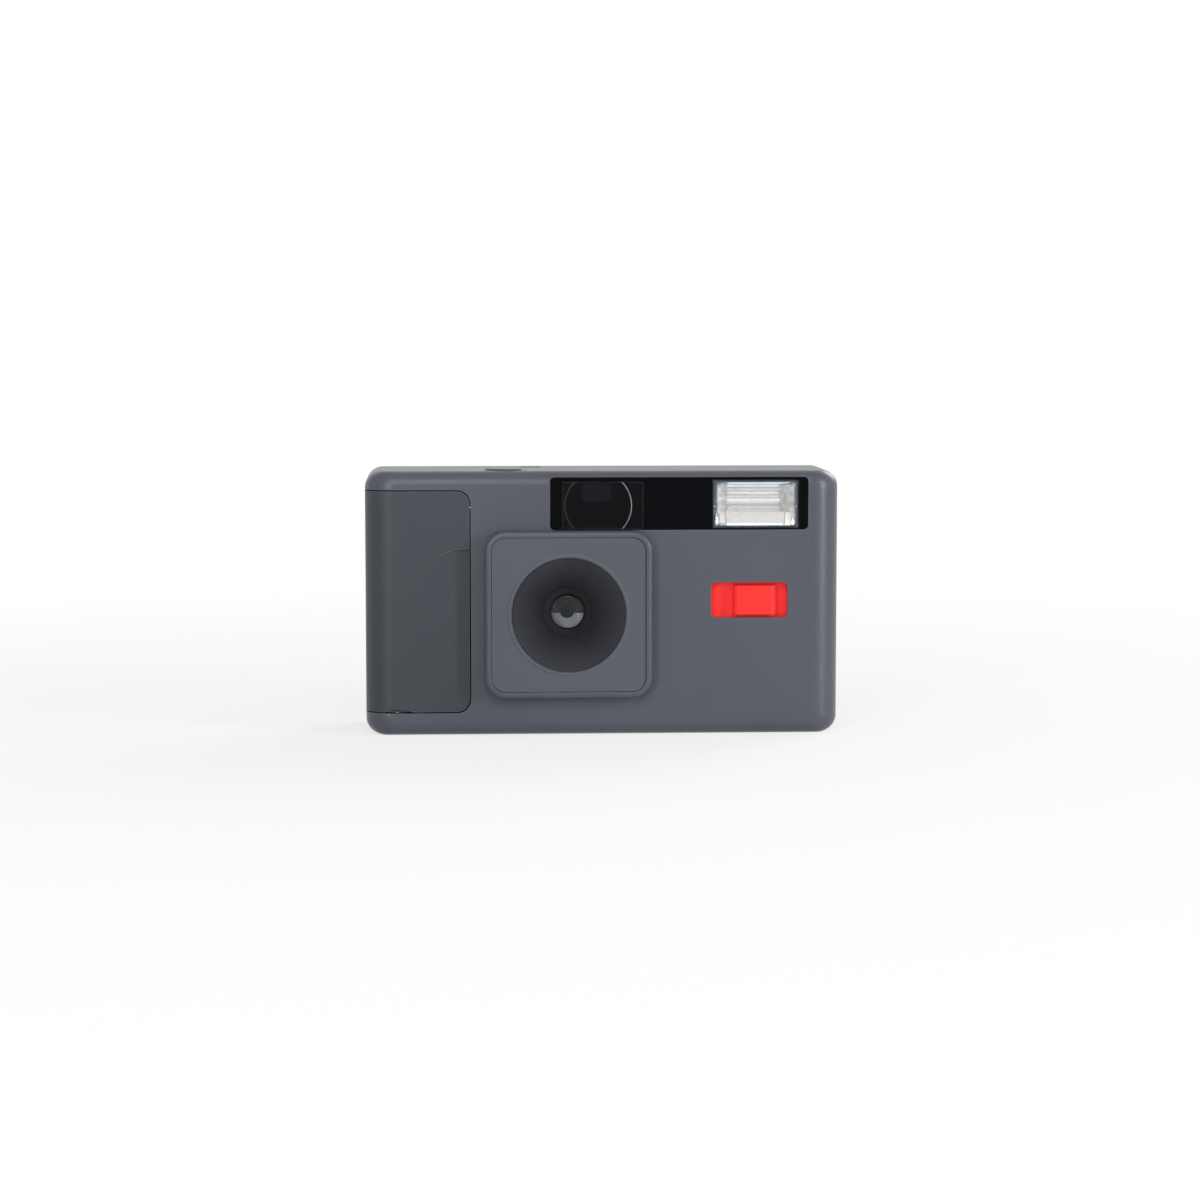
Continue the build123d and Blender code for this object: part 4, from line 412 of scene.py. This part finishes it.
def stop_finish():
    """Stop plate behind the lens: black above the lens axis and light grey below it, by height; the
    light lower half is a painted reflection seen through the lens.
    """
    sheet, shader, place = start_finish("stop_metal")
    height = sheet.add("ShaderNodeSeparateXYZ", {0: place}).outputs["Z"]
    edge = middle("lens_element").z - STOP_EDGE_DROP
    # Painted reflection: the stop plate is light below the lens axis
    painted_reflection = sheet.spread(height, edge - STOP_EDGE_BLUR, edge + STOP_EDGE_BLUR, 1.0, 0.0)
    grain = sheet.add("ShaderNodeTexNoise", {"Vector": place, "Scale": STOP_GRAIN, "Detail": 2.0})
    worn = sheet.spread(grain.outputs[0], *STOP_GRAIN_RANGE, *STOP_TINT_RANGE)
    tint = sheet.mix(sheet.math("MULTIPLY", painted_reflection, worn), paint(STOP_BLACK), paint(STOP_PAINTED_REFLECTION))
    connect(sheet, tint, shader, "Base Color")
    gloss = sheet.spread(grain.outputs[0], *STOP_GRAIN_RANGE, *STOP_GLOSS_RANGE)
    connect(sheet, gloss, shader, "Roughness")


def finish_nodes():
    """Every CAD node takes its finish."""
    for name, piece in nodes.items():
        piece.data.materials.clear()
        piece.data.materials.append(finish_of(name))


# Pieces


def place_piece(name, mesh, node):
    """Links a new piece in place of a CAD node and gives it the node's body and finish."""
    piece = bpy.data.objects.new(name, mesh)
    scene.collection.objects.link(piece)
    mesh.materials.clear()
    mesh.materials.append(finish_of(node))
    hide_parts(node)
    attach(piece, nodes[node]["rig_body"])
    return piece


MERGE_WITHIN = 0.002 * MM
FLAT_WITHIN = math.radians(0.4)
SHARP_ABOVE = math.radians(32.0)
EDGE_SEGMENTS = 2


def soften(node, width):
    """A merged copy of a CAD node with its edges broken by a round, whose width is in millimetres, and
    with smooth curved faces."""
    shape = bmesh.new()
    shape.from_mesh(nodes[node].data)
    bmesh.ops.remove_doubles(shape, verts=shape.verts, dist=MERGE_WITHIN)
    bmesh.ops.dissolve_limit(shape, angle_limit=FLAT_WITHIN, verts=shape.verts, edges=shape.edges)
    for face in shape.faces:
        face.smooth = True
    mesh = bpy.data.meshes.new(node + "_moulding")
    shape.to_mesh(mesh)
    shape.free()
    piece = place_piece(node + "_moulding", mesh, node)
    rounding = piece.modifiers.new("broken_edges", "BEVEL")
    rounding.width = width * MM
    rounding.segments = EDGE_SEGMENTS
    rounding.limit_method = "ANGLE"
    rounding.angle_limit = SHARP_ABOVE
    rounding.miter_outer = "MITER_ARC"
    shading = piece.modifiers.new("even_shading", "WEIGHTED_NORMAL")
    shading.keep_sharp = True


def grid_mesh(name, points, close_v=False):
    """Mesh of a grid of points: rows run along v, which can close on itself."""
    rows, columns = points.shape[:2]
    number = np.arange(rows * columns).reshape(rows, columns)
    if close_v:
        number = np.concatenate([number, number[:, :1]], axis=1)
    quads = np.stack([number[:-1, :-1], number[:-1, 1:], number[1:, 1:], number[1:, :-1]], axis=-1)
    mesh = bpy.data.meshes.new(name)
    mesh.from_pydata(points.reshape(-1, 3).tolist(), [], quads.reshape(-1, 4).tolist())
    mesh.polygons.foreach_set("use_smooth", [True] * len(mesh.polygons))
    return mesh


TURNED_SIDES = 96
CAP_STEPS = 24
POLE_WITHIN = 0.0005 * MM


def revolve(name, node, profile):
    """Body turned about the lens axis: each profile point (radius, y) goes round in a full circle."""
    centre = middle(node)
    angle = np.linspace(0, 2 * np.pi, TURNED_SIDES, endpoint=False)
    radius, depth = np.array(profile, float).T
    x = centre.x + radius[:, None] * np.cos(angle)
    z = centre.z + radius[:, None] * np.sin(angle)
    y = np.repeat(depth[:, None], TURNED_SIDES, axis=1)
    mesh = grid_mesh(name, np.stack([x, y, z], axis=-1), close_v=True)
    close_poles(mesh)
    return place_piece(name, mesh, node)


def close_poles(mesh):
    """Merges points that fall together and turns all faces outward."""
    shape = bmesh.new()
    shape.from_mesh(mesh)
    bmesh.ops.remove_doubles(shape, verts=shape.verts, dist=POLE_WITHIN)
    bmesh.ops.recalc_face_normals(shape, faces=shape.faces)
    shape.to_mesh(mesh)
    shape.free()


def cap(radius, rim, rise):
    """Half section of a shallow ball cap: depth falls from rise at the axis to nothing at the rim."""
    ball = (radius ** 2 + rise ** 2) / (2 * abs(rise))
    r = radius * np.sin(np.linspace(0, np.pi / 2, CAP_STEPS))
    depth = np.sqrt(ball ** 2 - r ** 2) - (ball - abs(rise))
    return np.stack([r, rim - np.sign(rise) * depth], axis=-1)


GLASS_RISE = 0.7 * MM
GLASS_CHAMFER = 0.08 * MM


def add_lens():
    """Lens with two ball faces and a ground rim between them."""
    low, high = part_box("lens_element")
    radius = (high.x - low.x) / 2
    front_rim, back_rim = low.y + GLASS_RISE, high.y - GLASS_RISE
    front = cap(radius - GLASS_CHAMFER, front_rim, GLASS_RISE)
    back = cap(radius - GLASS_CHAMFER, back_rim, -GLASS_RISE)[::-1]
    rim = np.array([(radius, front_rim + GLASS_CHAMFER), (radius, back_rim - GLASS_CHAMFER)])
    revolve("polished_lens", "lens_element", np.concatenate([front, rim, back]))


FLASH_BEVEL = 1.15 * MM
FLASH_BEVEL_FALL = 0.7 * MM


def store_shade(mesh, values):
    """Keeps one number per face, which the finish reads as its painted shade."""
    layer = mesh.attributes.new("shade", "FLOAT", "FACE")
    layer.data.foreach_set("value", np.asarray(values, dtype=np.float32).ravel())


def add_flash_pane():
    """Clear flash window: a flat front whose four bevels fall to a rim, as nested rectangles in a grid,
    and a flat back, closed round the sides. The bevels carry shade 1, a painted shade."""
    low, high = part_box("flash_window")
    columns = np.array([low.x, low.x + FLASH_BEVEL, high.x - FLASH_BEVEL, high.x])
    rows = np.array([low.z, low.z + FLASH_BEVEL, high.z - FLASH_BEVEL, high.z])
    x, z = np.meshgrid(columns, rows)
    y = np.full_like(x, low.y + FLASH_BEVEL_FALL)
    y[1:-1, 1:-1] = low.y
    front = np.stack([x, y, z], axis=-1)
    back = np.stack([x, np.full_like(x, high.y), z], axis=-1)
    points = np.concatenate([front.reshape(-1, 3), back.reshape(-1, 3)])
    face, rear = np.arange(len(points)).reshape(2, *x.shape)
    front_quads = np.stack([face[:-1, :-1], face[:-1, 1:], face[1:, 1:], face[1:, :-1]], axis=-1)
    rear_quads = np.stack([rear[:-1, :-1], rear[1:, :-1], rear[1:, 1:], rear[:-1, 1:]], axis=-1)
    rim = [(0, c) for c in range(4)] + [(r, 3) for r in range(1, 4)]
    rim += [(3, c) for c in range(2, -1, -1)] + [(r, 0) for r in range(2, 0, -1)]
    walls = [(face[a], rear[a], rear[b], face[b]) for a, b in zip(rim, rim[1:] + rim[:1])]
    quads = front_quads.reshape(-1, 4).tolist() + rear_quads.reshape(-1, 4).tolist()
    quads += [[int(corner) for corner in wall] for wall in walls]
    mesh = bpy.data.meshes.new("flash_pane")
    mesh.from_pydata(points.tolist(), [], quads)
    # The bevels carry painted shade
    bevelled = np.ones((3, 3))
    bevelled[1, 1] = 0
    flat_faces = np.zeros(len(quads) - bevelled.size)
    store_shade(mesh, np.concatenate([bevelled.ravel(), flat_faces]))
    place_piece("flash_pane", mesh, "flash_window")


MIRROR_WALL = 0.3 * MM
MIRROR_FLARE = 2.9 * MM
MIRROR_SEAM = 0.45 * MM
MIRROR_ZIGZAG = 0.22 * MM
MIRROR_APRON = 0.65 * MM
MIRROR_APRON_DEPTH = 0.6 * MM
# How far the end walls bow in at mid height, and where their fold lies across and into the trough
MIRROR_BOW = 0.25
MIRROR_FOLD_ACROSS = 0.45
MIRROR_FOLD_DEPTH = 0.4
MIRROR_SKIN = 0.8
# Painted shade of the end walls' wedges: the least, what every third row adds, and the inner wall's
# start
WEDGE_LEAST, WEDGE_ADDED, WEDGE_INNER = 0.12, 0.3, 0.3
# Painted shade of the seams beside plain and shaded facets, and the value above which a facet counts as
# shaded
SEAM_SHADE, SEAM_SHADE_MOST = 0.55, 1.0
SHADED_FACET = 0.3
# Level facets from bottom to top: height in parts of the whole, and how much painted shade each one
# takes
MIRROR_FACETS = ((0.4, 0.2), (1.3, 0.0), (0.9, 0.5), (1.0, 0.0), (0.8, 0.45), (1.7, 0.0), (0.35, 0.5),
                 (1.5, 0.0), (0.5, 0.55), (1.0, 0.1))


def add_flash_mirror():
    """Flash mirror: a trough of level facets on a parabola, y growing as one minus height squared.
    Its end walls lean outward towards the window, with a fold half way and a crimped seam along the
    trough's end that steps to and fro from facet to facet. The lowest facet is drawn down to the lower
    edge of the window as an apron. Facets, seams and wedges carry painted shade by their shade values."""
    low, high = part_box("flash_reflector")
    share, dull = np.array(MIRROR_FACETS).T
    height = 2 * np.concatenate([[0], np.cumsum(share)]) / share.sum() - 1
    y = low.y + (high.y - low.y - MIRROR_WALL) * (1 - height ** 2)
    z = (low.z + high.z) / 2 + height * ((high.z - low.z) / 2 - MIRROR_WALL)
    z[0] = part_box("flash_window")[0].z + MIRROR_APRON
    y[0] = low.y + MIRROR_APRON_DEPTH
    lean = MIRROR_FLARE * (1 - MIRROR_BOW * height ** 2)
    step = MIRROR_ZIGZAG * (-1) ** np.arange(len(height))
    left = np.full_like(lean, low.x + MIRROR_WALL)
    right = np.full_like(lean, high.x - MIRROR_WALL)
    seam_left = left + lean + step
    seam_right = right - lean - step
    fold_left = left + lean * MIRROR_FOLD_ACROSS
    fold_right = right - lean * MIRROR_FOLD_ACROSS
    across = np.stack([left, fold_left, seam_left, seam_left + MIRROR_SEAM, seam_right - MIRROR_SEAM,
                       seam_right, fold_right, right], axis=-1)
    rim = np.full_like(y, low.y)
    fold = low.y + (y - low.y) * MIRROR_FOLD_DEPTH
    deep = np.stack([rim, fold, y, y, y, y, fold, rim], axis=-1)
    up = np.repeat(z[:, None], across.shape[1], axis=1)
    # The grid runs along X first, so its faces point to the window when it is read from the right
    mesh = grid_mesh("faceted_mirror", np.stack([across, deep, up], axis=-1)[:, ::-1])
    mesh.polygons.foreach_set("use_smooth", [False] * len(mesh.polygons))
    # Painted shade per face: wedges, fold walls, seams and facets darken to the mirror's shade colour by
    # it
    rows = len(dull)
    wedge = WEDGE_LEAST + WEDGE_ADDED * (np.arange(rows) % 3 == 0)
    inner = WEDGE_INNER - wedge / 2
    seam = np.where(dull > SHADED_FACET, SEAM_SHADE_MOST, SEAM_SHADE)
    store_shade(mesh, np.stack([wedge, inner, seam, dull, seam, inner, wedge], axis=-1))
    piece = place_piece("faceted_mirror", mesh, "flash_reflector")
    skin = piece.modifiers.new("sheet", "SOLIDIFY")
    skin.thickness = MIRROR_WALL * MIRROR_SKIN
    skin.offset = -1


COIL_STEPS = 28
COIL_DEAD_TURNS = 0.75
WIRE_SIDES = 8


def add_coil(name, node, wire, turns, axis="z", taper=0.0):
    """Wound spring: a round wire along a helix in the node's space. The turns at both ends lie flat, so
    that the spring sits squarely, and its radius may shrink by its taper from one end to the other."""
    low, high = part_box(node)
    centre = (low + high) / 2
    outer = (high.x - low.x) / 2
    start, end = getattr(low, axis) + wire / 2, getattr(high, axis) - wire / 2
    along = np.linspace(0, 1, int(turns * COIL_STEPS))
    dead = COIL_DEAD_TURNS / turns
    rise = np.clip((along - dead) / (1 - 2 * dead), 0, 1)
    height = start + (end - start) * rise
    radius = (outer - wire / 2) * (1 - taper * rise)
    angle = 2 * np.pi * turns * along
    spoke = np.stack([np.cos(angle), np.sin(angle)], axis=-1)
    ring = 2 * np.pi * np.arange(WIRE_SIDES) / WIRE_SIDES
    out = radius[:, None] + wire / 2 * np.cos(ring)
    up = height[:, None] + wire / 2 * np.sin(ring)
    first = spoke[:, :1] * out
    second = spoke[:, 1:] * out
    if axis == "z":
        points = np.stack([centre.x + first, centre.y + second, up], axis=-1)
    else:
        points = np.stack([centre.x + first, up, centre.z + second], axis=-1)
    first_end, last_end = (np.tile(loop.mean(0), (1, WIRE_SIDES, 1)) for loop in (points[0], points[-1]))
    points = np.concatenate([first_end, points, last_end])
    mesh = grid_mesh(name, points, close_v=True)
    close_poles(mesh)
    return place_piece(name, mesh, node)


def shorten(coil, node):
    """A coil that a joint presses gets a mesh of its own; it is not made shorter here."""
    for joint in frame["record"]["behaviour"]["joints"]:
        for held in joint.get("deforming_nodes", []):
            if held["node"] == node:
                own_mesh(coil)


# Name, node, wire and turns of each coil that a joint presses
PRESSED_COILS = (
    ("button_coil", "button_spring", 0.45 * MM, 7),
    ("release_coil", "release_spring", 0.35 * MM, 7),
    ("latch_coil", "latch_spring", 0.22 * MM, 12),
)
# Width of the round on each moulding's edges, in millimetres
SOFT_MOULDINGS = {
    "front_cover": 0.2, "battery_door": 0.2, "rear_frame": 0.2, "back_door": 0.2,
    "lens_housing": 0.12, "lens_plate": 0.08, "window_panel": 0.1, "flash_switch": 0.18,
    "shutter_button": 0.12, "advance_wheel": 0.1, "lens_retaining_ring": 0.08, "door_latch": 0.1,
    "eyepiece_frame": 0.15, "rewind_crank": 0.15, "rewind_handle": 0.2, "rewind_release": 0.15,
    "counter_window": 0.1, "ready_lamp": 0.3, "strap_bar": 0.15, "film_chassis": 0.1,
    "take_up_spool": 0.12, "film_sprocket": 0.1, "pressure_plate": 0.15, "battery_tray": 0.1,
    "viewfinder_front_lens": 0.06, "viewfinder_rear_lens": 0.1, "film_window": 0.1,
    "flash_capacitor": 0.1, "flash_transformer": 0.1, "flash_circuit_board": 0.06,
}


LAMP_AIM = (0, 0, 0.03)
# Name, place, width, height and power of each lamp
LAMPS = (
    ("front_softbox", (-0.1, -0.85, 0.65), 0.6, 0.6, 4.1),
    ("right_softbox", (0.75, -0.49, 0.14), 0.07, 0.6, 6.2),
    ("left_softbox", (-0.45, -0.88, 0.16), 0.1, 0.5, 3.0),
    ("back_softbox", (0.7, 0.8, 0.6), 0.6, 0.6, 6.0),
)


def add_lamp(name, place, width, height, power):
    """Soft rectangular lamp that is turned to the middle of the camera."""
    data = bpy.data.lights.new(name, "AREA")
    data.shape = "RECTANGLE"
    data.size = width
    data.size_y = height
    data.energy = power
    lamp = bpy.data.objects.new(name, data)
    scene.collection.objects.link(lamp)
    lamp.location = place
    lamp.rotation_euler = (Vector(LAMP_AIM) - Vector(place)).to_track_quat("-Z", "Y").to_euler()


def seen_directly(sheet):
    """1 for rays from the camera, off gloss or through glass."""
    path = sheet.add("ShaderNodeLightPath")
    either = sheet.math("MAXIMUM", path.outputs["Is Camera Ray"], path.outputs["Is Glossy Ray"])
    return sheet.math("MAXIMUM", either, path.outputs["Is Transmission Ray"])


WORLD_LIGHT = 0.3
FLOOR_SIZE = 6.0
PAPER = (0.9, 0.9, 0.9)
# The floor glows by itself, less near the camera, where its shadow falls
GLOW_NEAR, GLOW_FAR = 0.07, 0.4
GLOW_LEAST = 0.7
WHITE = (1, 1, 1, 1)


def add_studio():
    """White surroundings, a pale floor that keeps the shadow, and soft lamps."""
    world = bpy.data.worlds.new("studio")
    scene.world = world
    world.use_nodes = True
    sheet = Sheet(world.node_tree)
    light = world.node_tree.nodes["Background"]
    light.inputs["Color"].default_value = WHITE
    light.inputs["Strength"].default_value = WORLD_LIGHT
    white = sheet.add("ShaderNodeBackground", {"Color": WHITE, "Strength": 1.0})
    mixed = sheet.add("ShaderNodeMixShader",
                      {0: seen_directly(sheet), 1: light.outputs[0], 2: white.outputs[0]})
    outlet = world.node_tree.nodes["World Output"]
    world.node_tree.links.new(mixed.outputs[0], outlet.inputs["Surface"])

    half = FLOOR_SIZE / 2
    mesh = bpy.data.meshes.new("studio_floor")
    corners = [(-half, -half, 0), (half, -half, 0), (half, half, 0), (-half, half, 0)]
    mesh.from_pydata(corners, [], [(0, 1, 2, 3)])
    floor = bpy.data.objects.new("studio_floor", mesh)
    scene.collection.objects.link(floor)
    material = bpy.data.materials.new("studio_floor")
    material.use_nodes = True
    sheet = Sheet(material.node_tree)
    paper_shader = material.node_tree.nodes["Principled BSDF"]
    paper_shader.inputs["Base Color"].default_value = paint(PAPER)
    paper_shader.inputs["Roughness"].default_value = 0.8
    paper_shader.inputs["Specular IOR Level"].default_value = 0.1
    glow = sheet.add("ShaderNodeEmission", {"Color": WHITE, "Strength": 1.0})
    place = sheet.add("ShaderNodeTexCoord").outputs["Object"]
    reach = sheet.add("ShaderNodeVectorMath", {0: place}, operation="LENGTH").outputs["Value"]
    strength = sheet.spread(reach, GLOW_NEAR, GLOW_FAR, GLOW_LEAST, 1.0)
    share = sheet.math("MULTIPLY", seen_directly(sheet), strength)
    mixed = sheet.add("ShaderNodeMixShader",
                      {0: share, 1: paper_shader.outputs[0], 2: glow.outputs[0]})
    outlet = material.node_tree.nodes["Material Output"]
    material.node_tree.links.new(mixed.outputs[0], outlet.inputs["Surface"])
    mesh.materials.append(material)

    for name, spot, width, height, power in LAMPS:
        add_lamp(name, spot, width, height, power)
    scene.view_settings.view_transform = "Standard"


def main():
    add_camera()
    add_studio()
    make_finishes()
    stop_finish()
    finish_nodes()
    for node, width in SOFT_MOULDINGS.items():
        soften(node, width)
    add_lens()
    add_flash_pane()
    add_flash_mirror()
    for name, node, wire, turns in PRESSED_COILS:
        shorten(add_coil(name, node, wire, turns), node)
    add_coil("battery_coil", "battery_spring", 0.45 * MM, 3.5, taper=0.25)
    add_coil("shutter_coil", "shutter_spring", 0.3 * MM, 4, axis="y")


main()
